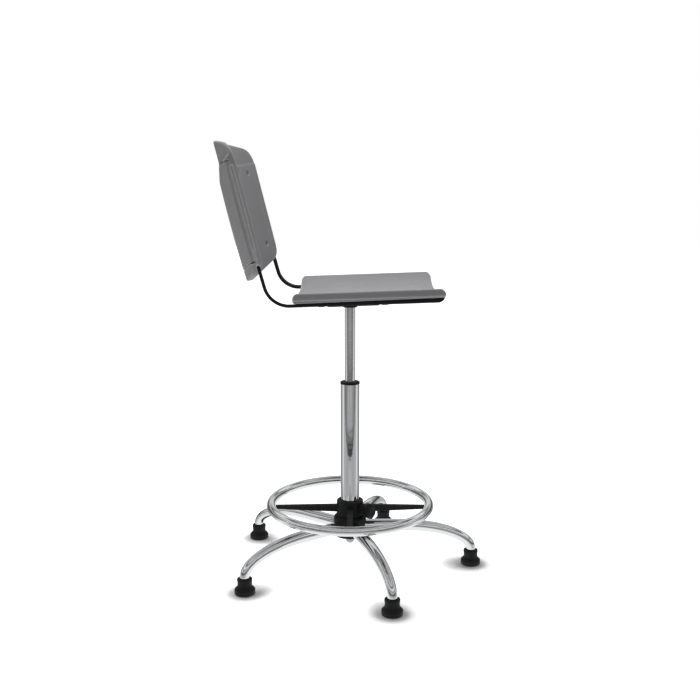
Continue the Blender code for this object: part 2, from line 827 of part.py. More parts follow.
def make_clamp(axis_frame):
    """Knob, stud and pad on an axis that runs out from the column. Local Z points away from it."""
    pad_outer = PAD_INNER_R + PAD_LENGTH
    turned("clamp_pad", cylinder_profile(STUD_R - FIT, PAD_INNER_R, pad_outer), STEEL, 12, parent=axis_frame)
    outer = KNOB_INNER_R + KNOB_LENGTH
    rings = []
    for height, radius in (
        (KNOB_INNER_R, KNOB_R * 0.62),
        (KNOB_INNER_R + KNOB_LENGTH * 0.30, KNOB_R * 0.70),
        (KNOB_INNER_R + KNOB_LENGTH * 0.42, KNOB_R),
        (outer - KNOB_LENGTH * 0.16, KNOB_R),
        (outer, KNOB_R * 0.82),
    ):
        rings.append([(x, y, height) for x, y in knob_outline(radius)])
    knob = add_piece("clamp_knob", loft_mesh("clamp_knob", rings), BLACK_NYLON, parent=axis_frame)
    stud = turned_cutter(
        "clamp_stud", cylinder_profile(STUD_R, pad_outer + FIT, KNOB_INNER_R + KNOB_LENGTH / 2), 12,
        parent=axis_frame,
    )
    boolean(knob, "UNION", stud)


# Gas lift


def make_cylinder(lift):
    tip_r = CYLINDER_R - TAPER_DROP
    sink = CYLINDER_TOP - BUTTON_SUNK - BUTTON_TRAVEL - STOP_GAP
    chamber_top = SOCKET_BOTTOM - CYLINDER_HEAD
    bore = ROD_R + FIT
    edge = SMALL_EDGE
    profile = [
        (0.0, sink),
        (BUTTON_R + FIT, sink),
        (BUTTON_R + FIT, CYLINDER_TOP),
        (tip_r, CYLINDER_TOP),
        (CYLINDER_R, SOCKET_BOTTOM),
        (CYLINDER_R, CYLINDER_BOTTOM + edge),
        (CYLINDER_R - edge, CYLINDER_BOTTOM),
        (bore, CYLINDER_BOTTOM),
        (bore, CYLINDER_BOTTOM + CYLINDER_GLAND),
        (CYLINDER_BORE_R, CYLINDER_BOTTOM + CYLINDER_GLAND),
        (CYLINDER_BORE_R, chamber_top),
        (0.0, chamber_top),
    ]
    turned("gas_cylinder", profile, GREY_CHROME, 24, parent=lift)


def make_button(frame):
    button = [
        (0.0, CYLINDER_TOP + BUTTON_SHOWN),
        (BUTTON_R * 0.8, CYLINDER_TOP + BUTTON_SHOWN),
        (BUTTON_R, CYLINDER_TOP + BUTTON_SHOWN * 0.8),
        (BUTTON_R, CYLINDER_TOP - BUTTON_SUNK),
        (0.0, CYLINDER_TOP - BUTTON_SUNK),
    ]
    turned("valve_button", button, STEEL, 12, parent=frame)


# Side bars, drawn in the plane of the seat's side as (y, z) in the lift's frame


def seat_point(y, z):
    """A point of the seat's tilted frame, in the lift's frame."""
    return Vector((y * math.cos(SEAT_TILT) + z * math.sin(SEAT_TILT),
                   SEAT_Z - y * math.sin(SEAT_TILT) + z * math.cos(SEAT_TILT)))


def back_point(y, z):
    """A point of the backrest's reclined frame, in the lift's frame."""
    return Vector((BACK_Y + y * math.cos(BACK_RECLINE) + z * math.sin(BACK_RECLINE),
                   SEAT_Z + BACK_Z - y * math.sin(BACK_RECLINE) + z * math.cos(BACK_RECLINE)))


def bar_path(spare):
    front = seat_point(BAR_FRONT_Y - spare, 0.0)
    corner = seat_point(BAR_CORNER_Y, 0.0)
    entry = back_point(BAR_DEPTH_IN_BACK, BAR_ENTRY_Z)
    top = back_point(BAR_DEPTH_IN_BACK, BAR_TOP_Z + spare)
    tip = BAR_THICKNESS
    path = [front, front + Vector((tip * 0.35, 0)), front + Vector((tip, 0))]
    path += [Vector(point) for point in fillet(front, corner, entry, BAR_BEND_R, BAR_BEND_STEPS)]
    path += [entry, (entry + top) / 2, top]
    return path


def bar_sections(side, grow=0.0):
    """Flat-oval sections square to the path, canted so that the outer edge leans to the bend's inside."""
    path = bar_path(grow)
    half = BAR_THICKNESS / 2
    flat = BAR_WIDTH / 2 - half
    oval = []
    for centre, start in ((flat, -90), (-flat, 90)):
        oval += arc((centre, 0.0), half, start, start + 180, 4)
    sections = []
    for i, point in enumerate(path):
        along = (path[min(i + 1, len(path) - 1)] - path[max(i - 1, 0)]).normalized()
        inside = Vector((-along.y, along.x))
        scale = (0.45, 0.85)[i] if i < 2 else 1.0
        section = []
        for across, rise in oval:
            across *= scale * (1 + grow / (BAR_WIDTH / 2))
            rise *= scale * (1 + grow / half)
            out = across * math.cos(BAR_CANT) - rise * math.sin(BAR_CANT)
            lean = across * math.sin(BAR_CANT) + rise * math.cos(BAR_CANT)
            section.append((side * (BAR_X + out), point.x + inside.x * lean, point.y + inside.y * lean))
        sections.append(section)
    return sections


def rail_outline():
    """Side view of the strip on a bar's top that carries the seat's side, as (y, z) in the seat's frame."""
    nose = SEAT_NOSE_R
    rear = SEAT_REAR_Y - nose
    front = SEAT_FRONT_Y + nose
    low = seat_band_bottom() - FIT
    front_rise = SEAT_BAND_RISE * (SEAT_REAR_Y - front) / (SEAT_REAR_Y - SEAT_FRONT_Y)
    rear_rise = SEAT_BAND_RISE * nose / (SEAT_REAR_Y - SEAT_FRONT_Y)
    return [(rear, 0.0), (rear, low + rear_rise), (front, low + front_rise), (front + nose / 2, 0.0)]


def make_side_bars(lift, seat):
    grooves = cutter_group("Bar grooves")
    across = BAR_X + BAR_WIDTH / 2 - RAIL_INSET
    for word, side in (("left", 1), ("right", -1)):
        bar = add_piece(f"side_bar_{word}", loft_mesh("side_bar", bar_sections(side)), BLACK_STEEL, parent=lift)
        place = Matrix.Translation((side * across, 0, 0)) @ AS_YZ
        rail = plate_mesh("seat_rail", rail_outline(), RAIL_THICKNESS, place)
        boolean(bar, "UNION", add_cutter(f"seat_rail_{word}", rail, parent=seat))
        groove = loft_mesh("bar_groove", bar_sections(side, FIT))
        add_cutter(f"bar_groove_{word}", groove, parent=lift, group=grooves)
    return grooves


def cross_member_sections(y):
    """Flat-oval sections along X: level under the pan, rising at both ends to the side bars."""
    end = BAR_X - BAR_WIDTH / 2 * math.cos(BAR_CANT) - FIT * 2
    end_z = -BAR_WIDTH / 2 * math.sin(BAR_CANT)
    run = [(-end, end_z), (-CROSS_RISE_END, end_z * 2), (-CROSS_LEVEL_HALF, CROSS_Z)]
    run += [(CROSS_LEVEL_HALF, CROSS_Z), (CROSS_RISE_END, end_z * 2), (end, end_z)]
    half = CROSS_THICKNESS / 2
    flat = CROSS_WIDTH / 2 - half
    oval = []
    for centre, start in ((flat, -90), (-flat, 90)):
        oval += arc((centre, 0.0), half, start, start + 180, 3)
    return [[(x, y + across, z + rise) for across, rise in oval] for x, z in run]


def make_cross_members(seat):
    for word, y in (("front", CROSS_FRONT_Y), ("rear", CROSS_REAR_Y)):
        mesh = loft_mesh("cross_member", cross_member_sections(y))
        add_piece(f"cross_member_{word}", mesh, BLACK_STEEL, parent=seat)


# Seat shell


def seat_band_bottom():
    """Height at which the seat's sides end, just over the side bars."""
    return BAR_THICKNESS / 2 + BAR_WIDTH / 2 * math.sin(BAR_CANT) + FIT


def seat_section():
    """Right half of the seat's section: pan, rising side, rolled rim, stepped outer lip, underside."""
    rim_inner = SEAT_HALF_WIDTH - SEAT_RIM_WIDTH
    run = rim_inner - SEAT_FLAT_HALF
    rise = SEAT_RIM_HEIGHT - 0.001 - PAN_TOP
    radius = (run**2 + rise**2) / (2 * rise)
    sweep = math.degrees(math.asin(run / radius))
    top = arc((SEAT_FLAT_HALF, PAN_TOP + radius), radius, -90, -90 + sweep, 5)
    under = arc((SEAT_FLAT_HALF, PAN_TOP + radius), radius + SEAT_WALL, -90 + sweep * 0.94, -90, 4)
    lip_bottom = SEAT_RIM_HEIGHT - SEAT_LIP_HEIGHT
    band_bottom = seat_band_bottom()
    outer = SEAT_HALF_WIDTH
    inset = outer - SEAT_LIP_STEP
    rim = [
        (rim_inner + SEAT_RIM_WIDTH * 0.35, SEAT_RIM_HEIGHT),
        (rim_inner + SEAT_RIM_WIDTH * 0.75, SEAT_RIM_HEIGHT - 0.0006),
        (outer, SEAT_RIM_HEIGHT - 0.0028),
        (outer, lip_bottom),
        (inset, lip_bottom - SEAT_LIP_STEP),
        (inset, band_bottom),
        (inset - SEAT_WALL * 0.8, band_bottom),
    ]
    return [(0.0, PAN_TOP), *top, *rim, *under, (0.0, PAN_TOP - SEAT_WALL)]


def seat_side_outline():
    """Side view of the seat's ends as (y, z): rounded upper corners, a rounded nose, straight below."""
    top = SEAT_RIM_HEIGHT
    low = -SEAT_RIM_HEIGHT
    front_r = SEAT_FRONT_CORNER_R
    rear_r = SEAT_REAR_CORNER_R
    nose_r = SEAT_NOSE_R
    nose_z = seat_band_bottom() + SEAT_BAND_RISE + nose_r
    outline = [(SEAT_FRONT_Y + nose_r, low)]
    outline += arc((SEAT_FRONT_Y + nose_r, nose_z), nose_r, 270, 180, 4)
    outline += arc((SEAT_FRONT_Y + front_r, top - front_r), front_r, 180, 90, 6)
    outline += arc((SEAT_REAR_Y - rear_r, top - rear_r), rear_r, 90, 0, 5)
    outline.append((SEAT_REAR_Y, low))
    return outline


def shape_along(mesh):
    """Rolls the pan's front edge down in a waterfall, and lets the sides' lower edge rise towards the front."""
    work = bmesh.new()
    work.from_mesh(mesh)
    start = SEAT_FRONT_Y + WATERFALL_LENGTH
    for k in range(5):
        place = start - WATERFALL_LENGTH * k / 5
        geometry = work.verts[:] + work.edges[:] + work.faces[:]
        bmesh.ops.bisect_plane(work, geom=geometry, plane_co=(0, place, 0), plane_no=(0, 1, 0))
    outer = BAR_X - BAR_WIDTH / 2
    inner = SEAT_FLAT_HALF
    for vert in work.verts:
        x, y, z = vert.co
        ahead = max(0.0, (start - y) / WATERFALL_LENGTH)
        inboard = min(1.0, max(0.0, (outer - abs(x)) / (outer - inner)))
        vert.co.z -= WATERFALL_DROP * ahead**2 * inboard
        if abs(x) > BAR_X and abs(z - seat_band_bottom()) < FIT:
            vert.co.z += SEAT_BAND_RISE * (SEAT_REAR_Y - y) / (SEAT_REAR_Y - SEAT_FRONT_Y)
    work.to_mesh(mesh)
    work.free()


def make_seat_shell(seat):
    length = 2 * (SEAT_REAR_Y - SEAT_FRONT_Y)
    section = mirrored(seat_section())
    middle = Matrix.Translation((0, (SEAT_REAR_Y + SEAT_FRONT_Y) / 2, 0))
    mesh = plate_mesh("seat_shell", section, length, middle @ AS_XZ)
    shape_along(mesh)
    shell = add_piece("seat_shell", mesh, GREY_PLASTIC, parent=seat)
    outline = plate_mesh("seat_ends", seat_side_outline(), 3 * SEAT_HALF_WIDTH, AS_YZ)
    boolean(shell, "INTERSECT", add_cutter("seat_ends", outline, parent=seat))
    bosses = cutter_group("Seat bosses")
    screw_holes = cutter_group("Seat screw holes")
    boss_low = PAN_TOP - SEAT_WALL - SEAT_BOSS_HEIGHT
    for i, (x, y) in enumerate(seat_screw_places()):
        boss = cylinder_profile(SEAT_BOSS_R, boss_low, PAN_TOP - SEAT_WALL / 2)
        turned_cutter(f"seat_boss_{i + 1}", boss, 12, parent=seat, location=(x, y, 0), group=bosses)
        hole = seat_screw_profile(FIT)
        turned_cutter(f"seat_screw_hole_{i + 1}", hole, SCREW_SIDES, parent=seat, location=(x, y, 0),
                      group=screw_holes)
    boolean(shell, "UNION", bosses)
    boolean(shell, "DIFFERENCE", screw_holes)
    return screw_holes


def seat_screw_places():
    return [(x, y) for y in (CROSS_FRONT_Y, CROSS_REAR_Y) for x in (-SEAT_BOSS_X, SEAT_BOSS_X)]


def seat_screw_profile(grow=0.0):
    """Pan-head screw from below the cross member up into the seat's boss."""
    seat_face = CROSS_Z - CROSS_THICKNESS / 2 - FIT + grow
    top = PAN_TOP - SEAT_WALL - SEAT_BOSS_HEIGHT + SEAT_SCREW_BITE + grow
    return [
        (0.0, top),
        (SCREW_SHANK_R + grow, top),
        (SCREW_SHANK_R + grow, seat_face),
        (SCREW_HEAD_R + grow, seat_face),
        (SCREW_HEAD_R * 0.8 + grow, seat_face - SCREW_HEAD_HEIGHT - grow),
        (0.0, seat_face - SCREW_HEAD_HEIGHT - grow),
    ]


def make_seat_screws(seat, screw_holes):
    for word in ("front", "rear"):
        boolean(bpy.data.objects[f"cross_member_{word}"], "DIFFERENCE", screw_holes)
    for i, (x, y) in enumerate(seat_screw_places()):
        turned(f"seat_screw_{i + 1}", seat_screw_profile(), STEEL, SCREW_SIDES, parent=seat,
               location=(x, y, 0))


# Mechanism


def tray_bolt_profile(grow=0.0):
    """Hexagon bolt from under the tray's flange up into a cross member."""
    seat_face = TRAY_TOP - TRAY_SHEET - FIT + grow
    top = TRAY_TOP + FIT + TRAY_BOLT_BITE + grow
    return [
        (0.0, top),
        (SCREW_SHANK_R * 1.4 + grow, top),
        (SCREW_SHANK_R * 1.4 + grow, seat_face),
        (TRAY_BOLT_HEAD_R + grow, seat_face),
        (TRAY_BOLT_HEAD_R + grow, seat_face - SCREW_HEAD_HEIGHT * 1.6 - grow),
        (0.0, seat_face - SCREW_HEAD_HEIGHT * 1.6 - grow),
    ]


def make_tray(seat, lift):
    half = CROSS_WIDTH / 2
    front = CROSS_FRONT_Y - half
    rear = CROSS_REAR_Y + half
    well_front = CROSS_FRONT_Y + half + TRAY_SHEET
    well_rear = CROSS_REAR_Y - half - TRAY_SHEET
    floor = TRAY_TOP - TRAY_DEPTH
    wide = TRAY_HALF_WIDTH
    flange = box_mesh("mechanism_tray", (-wide, front, TRAY_TOP - TRAY_SHEET), (wide, rear, TRAY_TOP))
    tray = add_piece("mechanism_tray", flange, BLACK_STEEL, parent=seat)
    well = add_cutter("tray_well", box_mesh("tray_well", (-wide + TRAY_CORNER, well_front, floor),
                                            (wide - TRAY_CORNER, well_rear, TRAY_TOP - TRAY_SHEET / 2)), parent=seat)
    boolean(tray, "UNION", well)
    sheet = TRAY_SHEET
    pocket = box_mesh("tray_pocket", (-wide + TRAY_CORNER + sheet, well_front + sheet, floor + sheet),
                      (wide - TRAY_CORNER - sheet, well_rear - sheet, TRAY_TOP + sheet))
    boolean(tray, "DIFFERENCE", add_cutter("tray_pocket", pocket, parent=seat))
    socket_profile = cylinder_profile(SOCKET_R, SOCKET_BOTTOM, SOCKET_BOTTOM + SOCKET_HEIGHT)
    boolean(tray, "UNION", turned_cutter("taper_socket", socket_profile, 24, parent=lift))
    ears = cutter_group("Lever ears")
    inner = LEVER_WIDTH / 2 + EAR_GAP
    for word, side in (("front", -1), ("rear", 1)):
        low, high = sorted((side * inner, side * (inner + sheet)))
        ear = box_mesh("lever_ear", (LEVER_PIVOT_X - EAR_LENGTH / 2, low, floor + sheet / 2),
                       (LEVER_PIVOT_X + EAR_LENGTH / 2, high, LEVER_Z + LEVER_BOSS_R))
        add_cutter(f"lever_ear_{word}", ear, parent=seat, group=ears)
    boolean(tray, "UNION", ears)
    slope = TAPER_DROP / TAPER_LENGTH
    taper = [
        (0.0, SOCKET_BOTTOM + SOCKET_HEIGHT * 2),
        (CYLINDER_R + FIT - slope * SOCKET_HEIGHT, SOCKET_BOTTOM + SOCKET_HEIGHT * 2),
        (CYLINDER_R + FIT - slope * SOCKET_HEIGHT, SOCKET_BOTTOM + SOCKET_HEIGHT),
        (CYLINDER_R + FIT + slope * SOCKET_HEIGHT, SOCKET_BOTTOM - SOCKET_HEIGHT),
        (0.0, SOCKET_BOTTOM - SOCKET_HEIGHT),
    ]
    boolean(tray, "DIFFERENCE", turned_cutter("taper_bore", taper, 24, parent=lift))
    bolt_holes = cutter_group("Tray bolt holes")
    for i, (x, y) in enumerate(tray_bolt_places()):
        turned(f"tray_bolt_{i + 1}", tray_bolt_profile(), STEEL, 6, parent=seat, location=(x, y, 0))
        turned_cutter(f"tray_bolt_hole_{i + 1}", tray_bolt_profile(FIT), 6, parent=seat,
                      location=(x, y, 0), group=bolt_holes)
    boolean(tray, "DIFFERENCE", bolt_holes)
    for word in ("front", "rear"):
        boolean(bpy.data.objects[f"cross_member_{word}"], "DIFFERENCE", bolt_holes)
    pin_hole = lever_pin_profile(PIN_PLAY)
    boolean(tray, "DIFFERENCE", turned_cutter("lever_pin_hole", pin_hole, 12, parent=seat,
                                              location=(LEVER_PIVOT_X, 0, LEVER_Z),
                                              rotation=(math.radians(-90), 0, 0)))


def tray_bolt_places():
    return [(x, y) for y in (CROSS_FRONT_Y, CROSS_REAR_Y) for x in (-TRAY_BOLT_X, TRAY_BOLT_X)]


def lever_pin_profile(grow=0.0):
    reach = LEVER_WIDTH / 2 + EAR_GAP + TRAY_SHEET + FIT
    return cylinder_profile(LEVER_PIN_R + grow, -reach - grow, reach + grow)


def lever_outline(grow=0.0):
    """Side view of the lever as (x, z) about its pivot: level over the valve button, then sloping out."""
    half = LEVER_THICKNESS / 2 + grow
    inner = LEVER_INNER_X - LEVER_PIVOT_X - grow
    outer = LEVER_OUTER_X - LEVER_PIVOT_X + grow
    bend = TRAY_HALF_WIDTH - LEVER_PIVOT_X
    level_end = outer - GRIP_LENGTH
    return [
        (inner, -half),
        (bend, -half),
        (level_end, -LEVER_DROP - half),
        (outer, -LEVER_DROP - half),
        (outer, -LEVER_DROP + half),
        (level_end, -LEVER_DROP + half),
        (bend, half),
        (inner, half),
    ]


def make_lever(axis_frame, seat):
    arm = add_piece("lever_arm", plate_mesh("lever_arm", lever_outline(), LEVER_WIDTH, AS_XZ), STEEL,
                    parent=axis_frame)
    across = (math.radians(-90), 0, 0)
    boss = cylinder_profile(LEVER_BOSS_R, -LEVER_WIDTH / 2, LEVER_WIDTH / 2)
    boolean(arm, "UNION", turned_cutter("lever_boss", boss, 16, parent=axis_frame, rotation=across))
    boolean(arm, "DIFFERENCE", turned_cutter("lever_pin_bore", lever_pin_profile(PIN_PLAY), 12,
                                             parent=axis_frame, rotation=across))
    turned("lever_pin", lever_pin_profile(), STEEL, 12, parent=seat,
           location=(LEVER_PIVOT_X, 0, LEVER_Z), rotation=across)
    end = LEVER_OUTER_X - LEVER_PIVOT_X + GRIP_THICKNESS / 2
    start = end - GRIP_LENGTH + GRIP_THICKNESS / 2
    wide = GRIP_WIDTH / 2
    narrow = wide * 0.75
    outline = [(start, -narrow), (end - wide, -wide)]
    outline += arc((end - wide, 0.0), wide, -60, 60, 6)
    outline += [(end - wide, wide), (start, narrow)]
    level = Matrix.Translation((0, 0, -LEVER_DROP))
    grip = add_piece("lever_grip", plate_mesh("lever_grip", outline, GRIP_THICKNESS, level), BLACK_NYLON,
                     parent=axis_frame)
    bevel(grip, 0.002)
    slot = plate_mesh("grip_slot", lever_outline(FIT), LEVER_WIDTH + 2 * FIT, AS_XZ)
    boolean(grip, "DIFFERENCE", add_cutter("grip_slot", slot, parent=axis_frame))


# Backrest, drawn in its reclined frame: x across, y to the rear, z up along the back


def ramp(value, low, high):
    return min(1.0, max(0.0, (value - low) / (high - low)))


def faceted_arc(x, middle, radius):
    """Depth of an arc that is deepest in the middle, read along the facets between the columns."""
    pitch = BACK_HALF_WIDTH / BACK_COLUMNS
    column = min(math.floor(abs(x) / pitch), BACK_COLUMNS - 1)
    share = abs(x) / pitch - column
    near = middle - radius + math.sqrt(radius**2 - (column * pitch) ** 2)
    far = middle - radius + math.sqrt(radius**2 - ((column + 1) * pitch) ** 2)
    return near * (1 - share) + far * share


def shell_front(x, z):
    """Front face: one hollow arc, set back above the crease."""
    half = CREASE_HEIGHT / 2
    return faceted_arc(x, BACK_MIDDLE, BACK_RADIUS) + CREASE_DEPTH * ramp(z, CREASE_Z - half, CREASE_Z + half)


def near_side(x, columns=1):
    """From 0 at a column counted from the edge to 1 where the cover's side wall stands."""
    start = BACK_HALF_WIDTH * (1 - columns / BACK_COLUMNS)
    return ramp(abs(x), start, BACK_HALF_WIDTH - RIM_WALL - COVER_CORNER_R)


def cover_rear(x, z):
    """Rear face of the cover: a flatter arc, chamfered at the top, most of all in the middle."""
    chamfer = COVER_CHAMFER_DEPTH * ramp(z, COVER_TOP_Z - COVER_CHAMFER_HEIGHT, COVER_TOP_Z)
    fall = COVER_FALL * (z / COVER_FALL_AT) ** 2
    return faceted_arc(x, COVER_MIDDLE, COVER_RADIUS) - fall - chamfer * (1 - near_side(x, CHAMFER_COLUMNS))


def shell_rear(x, z):
    """Rear of the shell: flush with the cover as far up as the cover goes, then the shoulder and the upper panel."""
    if z < COVER_TOP_Z + 1.5 * FIT:
        return cover_rear(x, z)
    panel = shell_front(x, z) + BACK_PANEL
    shoulder = near_side(x) * (1 - ramp(z, COVER_TOP_Z + 2 * FIT, COVER_TOP_Z + SHOULDER_FADE))
    return panel + max(0.0, cover_rear(x, COVER_TOP_Z) - panel) * shoulder


def cover_front(x, z):
    """Front edge of the cover: on the shell's rim, and on its wall where the cover runs out at the top."""
    on_rim = max(1 - ramp(z, COVER_TOP_Z - COVER_CHAMFER_HEIGHT, CREASE_Z - CREASE_HEIGHT), near_side(x))
    return shell_front(x, z) + FIT + BACK_WALL + (RIM_DEPTH - BACK_WALL) * on_rim


def panel_outline(half, low, low_arch, low_r, high, high_arch, high_r):
    """Closed front view as (x, z): arched lower and upper edges and round corners."""
    pitch = BACK_HALF_WIDTH / BACK_COLUMNS
    lower = [(pitch * i, low + low_arch * (pitch * i / half) ** 2) for i in range(BACK_COLUMNS - 1)]
    upper = [(pitch * i, high - high_arch * (pitch * i / half) ** 2) for i in range(BACK_COLUMNS - 1)]
    low_corner = (half, low + low_arch)
    high_corner = (half, high - high_arch)
    right = lower + fillet(lower[-1], low_corner, high_corner, low_r, 5)
    right += fillet(low_corner, high_corner, upper[-1], high_r, 6 if high_r > 2 * COVER_CORNER_R else 1)
    return mirrored(right + upper[::-1])


def shell_rows():
    """Heights at which the shell's faces bend."""
    crease = CREASE_HEIGHT / 2
    return [CREASE_Z - crease, COVER_TOP_Z + FIT, COVER_TOP_Z + 2 * FIT, CREASE_Z + crease,
            COVER_TOP_Z + SHOULDER_FADE]


def cover_rows():
    """Heights at which the cover's faces bend."""
    chamfer_low = COVER_TOP_Z - COVER_CHAMFER_HEIGHT
    crease_low = CREASE_Z - CREASE_HEIGHT / 2
    return [chamfer_low - COVER_FALL_AT, chamfer_low - COVER_FALL_AT / 2, chamfer_low,
            CREASE_Z - CREASE_HEIGHT, crease_low]


def back_columns():
    """Where the backrest's faces bend across its width."""
    pitch = BACK_HALF_WIDTH / BACK_COLUMNS
    return [pitch * i for i in range(-BACK_COLUMNS + 1, BACK_COLUMNS)]


def slab_mesh(name, outline, rows, front, rear, front_round=0.0, rear_round=0.0, thickness=BACK_PANEL):
    """A plate whose edges are rounded while it is flat, then bent to the depths of both its faces."""
    mesh = plate_mesh(name, outline, thickness, AS_XZ)
    work = bmesh.new()
    work.from_mesh(mesh)
    flat = math.radians(1)
    bmesh.ops.dissolve_limit(work, angle_limit=flat, verts=work.verts, edges=work.edges)
    for side, rounding, steps in ((-1, front_round, 2), (1, rear_round, 1)):
        if rounding:
            level = side * thickness / 2
            rims = [edge for edge in work.edges if all(abs(v.co.y - level) < FIT for v in edge.verts)]
            bmesh.ops.bevel(work, geom=rims, offset=rounding, segments=steps, profile=0.5, affect="EDGES")
    inside_rim = BACK_HALF_WIDTH - RIM_WALL - COVER_CORNER_R
    planes = [((place, 0, 0), (1, 0, 0)) for place in (*back_columns(), -inside_rim, inside_rim)]
    planes += [((0, 0, place), (0, 0, 1)) for place in rows]
    for place, direction in planes:
        geometry = work.verts[:] + work.edges[:] + work.faces[:]
        bmesh.ops.bisect_plane(work, geom=geometry, dist=FIT / 2, use_snap_center=True, plane_co=place,
                               plane_no=direction)
    for vert in work.verts:
        x, y, z = vert.co
        if y < 0:
            vert.co.y = front(x, z) + y + thickness / 2
        else:
            vert.co.y = rear(x, z) + y - thickness / 2
    work.to_mesh(mesh)
    work.free()
    shade(mesh, 25.0)
    return mesh


def strap_sections():
    """Sections of the strap, along the shell's arc from one side bar to the other."""
    half = STRAP_HEIGHT / 2
    between = [x for x in back_columns() if abs(x) < BAR_X - BAR_WIDTH / 2]
    sections = []
    for x in (-BAR_X, *between, BAR_X):
        y = shell_front(x, 0.0) + BACK_BOSS_DEPTH + FIT
        corners = ((0, -half), (0, half), (STRAP_THICKNESS, half), (STRAP_THICKNESS, -half))
        sections.append([(x, y + depth, STRAP_Z + z) for depth, z in corners])
    return sections


def back_screw_places():
    return [(side * x, z) for x, z in BACK_SCREW_UPPER + BACK_SCREW_LOWER for side in (-1, 1)]


def back_screw_profile(grow=0.0):
    """Screw along the back's depth, its head in the shell's recess. Local Z runs forwards from the face."""
    face = -SCREW_RECESS_DEPTH
    under = face - SCREW_HEAD_HEIGHT - grow
    end = face - BACK_SCREW_LENGTH - grow
    return [
        (0.0, face),
        (SCREW_HEAD_R * 0.8 + grow, face),
        (SCREW_HEAD_R + grow, face - SCREW_HEAD_HEIGHT * 0.5),
        (SCREW_HEAD_R + grow, under),
        (SCREW_SHANK_R + grow, under),
        (SCREW_SHANK_R + grow, end),
        (0.0, end),
    ]


def recess_profile():
    """Round recess in the shell's front face, with the screw's clearance below it."""
    mouth = [(0.0, SCREW_RECESS_DEPTH), (SCREW_RECESS_R, SCREW_RECESS_DEPTH)]
    floor = [(SCREW_RECESS_R, -SCREW_RECESS_DEPTH), (SCREW_HEAD_R + FIT, -SCREW_RECESS_DEPTH)]
    return mouth + floor + back_screw_profile(FIT)[3:]


def make_shell(back, grooves):
    outline = panel_outline(BACK_HALF_WIDTH, BACK_BOTTOM_Z, BACK_BOTTOM_ARCH, BACK_BOTTOM_CORNER_R,
                            BACK_TOP_Z, BACK_TOP_ARCH, BACK_TOP_CORNER_R)
    body = slab_mesh("back_shell", outline, shell_rows(), shell_front, shell_rear, BACK_FRONT_ROUND,
                     BACK_REAR_ROUND)
    shell = add_piece("back_shell", body, GREY_PLASTIC, parent=back)
    apron_top = BACK_BOTTOM_Z + APRON_HEIGHT
    inside = panel_outline(BACK_HALF_WIDTH - RIM_WALL, apron_top + RIM_WALL, APRON_ARCH,
                           BACK_BOTTOM_CORNER_R - RIM_WALL, COVER_TOP_Z - RIM_WALL, 0.0, COVER_CORNER_R)
    beside = BACK_HALF_WIDTH + BACK_PANEL
    behind = [(x, apron_top + APRON_ARCH * (x / BACK_HALF_WIDTH) ** 2) for x in back_columns()]
    behind = [(-beside, behind[0][1]), *behind, (beside, behind[-1][1])]
    behind += [(beside, COVER_TOP_Z + FIT), (-beside, COVER_TOP_Z + FIT)]

    def pocket_floor(x, z):
        return shell_front(x, z) + BACK_WALL + FIT

    def cover_seat(x, z):
        return cover_front(x, z) - FIT

    def clear_behind(x, z):
        return cover_rear(x, z) + BACK_PANEL

    for word, outline, rows, floor in (
        ("back_pocket", inside, shell_rows()[:1], pocket_floor),
        ("cover_seat", behind, cover_rows(), cover_seat),
    ):
        hollow = slab_mesh(word, outline, rows, floor, clear_behind)
        boolean(shell, "DIFFERENCE", add_cutter(word, hollow, parent=back))
    bosses = cutter_group("Shell bosses")
    for i, (x, z) in enumerate(back_screw_places()):
        depth = BACK_BOSS_DEPTH * math.cos(back_slope(x))
        boss = cylinder_profile(BACK_BOSS_R, -depth, -BACK_WALL / 2)
        turned_cutter(f"shell_boss_{i + 1}", boss, SCREW_SIDES, group=bosses, **screw_place(back, x, z))
    boolean(shell, "UNION", bosses)
    boolean(shell, "DIFFERENCE", grooves)
    return shell


def back_slope(x):
    """Angle between the front face and the plane across the back."""
    return math.asin(x / BACK_RADIUS)


def screw_place(back, x, z):
    """A screw's frame: on the front face, its local Z running forwards, square to the face."""
    rotation = (math.radians(90), 0, -back_slope(x))
    return {"parent": back, "location": (x, shell_front(x, z), z), "rotation": rotation}


def make_cover(back, grooves):
    half = BACK_HALF_WIDTH - COVER_INSET
    low = BACK_BOTTOM_Z + APRON_HEIGHT + APRON_SLOT
    corner = COVER_LOW_CORNER_R
    outline = panel_outline(half, low, APRON_ARCH, corner, COVER_TOP_Z, 0.0, COVER_CORNER_R)
    body = slab_mesh("back_cover", outline, cover_rows(), cover_front, cover_rear, 0.0, COVER_ROUND)
    cover = add_piece("back_cover", body, GREY_PLASTIC, parent=back)
    wall = COVER_WALL
    outline = panel_outline(half - wall, low + wall, APRON_ARCH, corner - wall, COVER_TOP_Z - wall, 0.0,
                            COVER_CORNER_R)

    def pocket_mouth(x, z):
        return shell_front(x, z)

    def pocket_floor(x, z):
        return cover_rear(x, z) - COVER_WALL

    pocket = slab_mesh("cover_pocket", outline, cover_rows(), pocket_mouth, pocket_floor)
    boolean(cover, "DIFFERENCE", add_cutter("cover_pocket", pocket, parent=back))
    bosses = cutter_group("Cover bosses")
    for x, z in BACK_SCREW_LOWER:
        for side in (-1, 1):
            slant = math.cos(back_slope(x))
            far = (cover_rear(x, z) - shell_front(x, z) - COVER_WALL / 2) * slant
            boss = cylinder_profile(COVER_BOSS_R, -far, -BACK_BOSS_DEPTH * slant - FIT)
            word = "left" if side > 0 else "right"
            turned_cutter(f"cover_boss_{word}", boss, SCREW_SIDES, group=bosses, **screw_place(back, side * x, z))
    boolean(cover, "UNION", bosses)
    boolean(cover, "DIFFERENCE", grooves)
    return cover


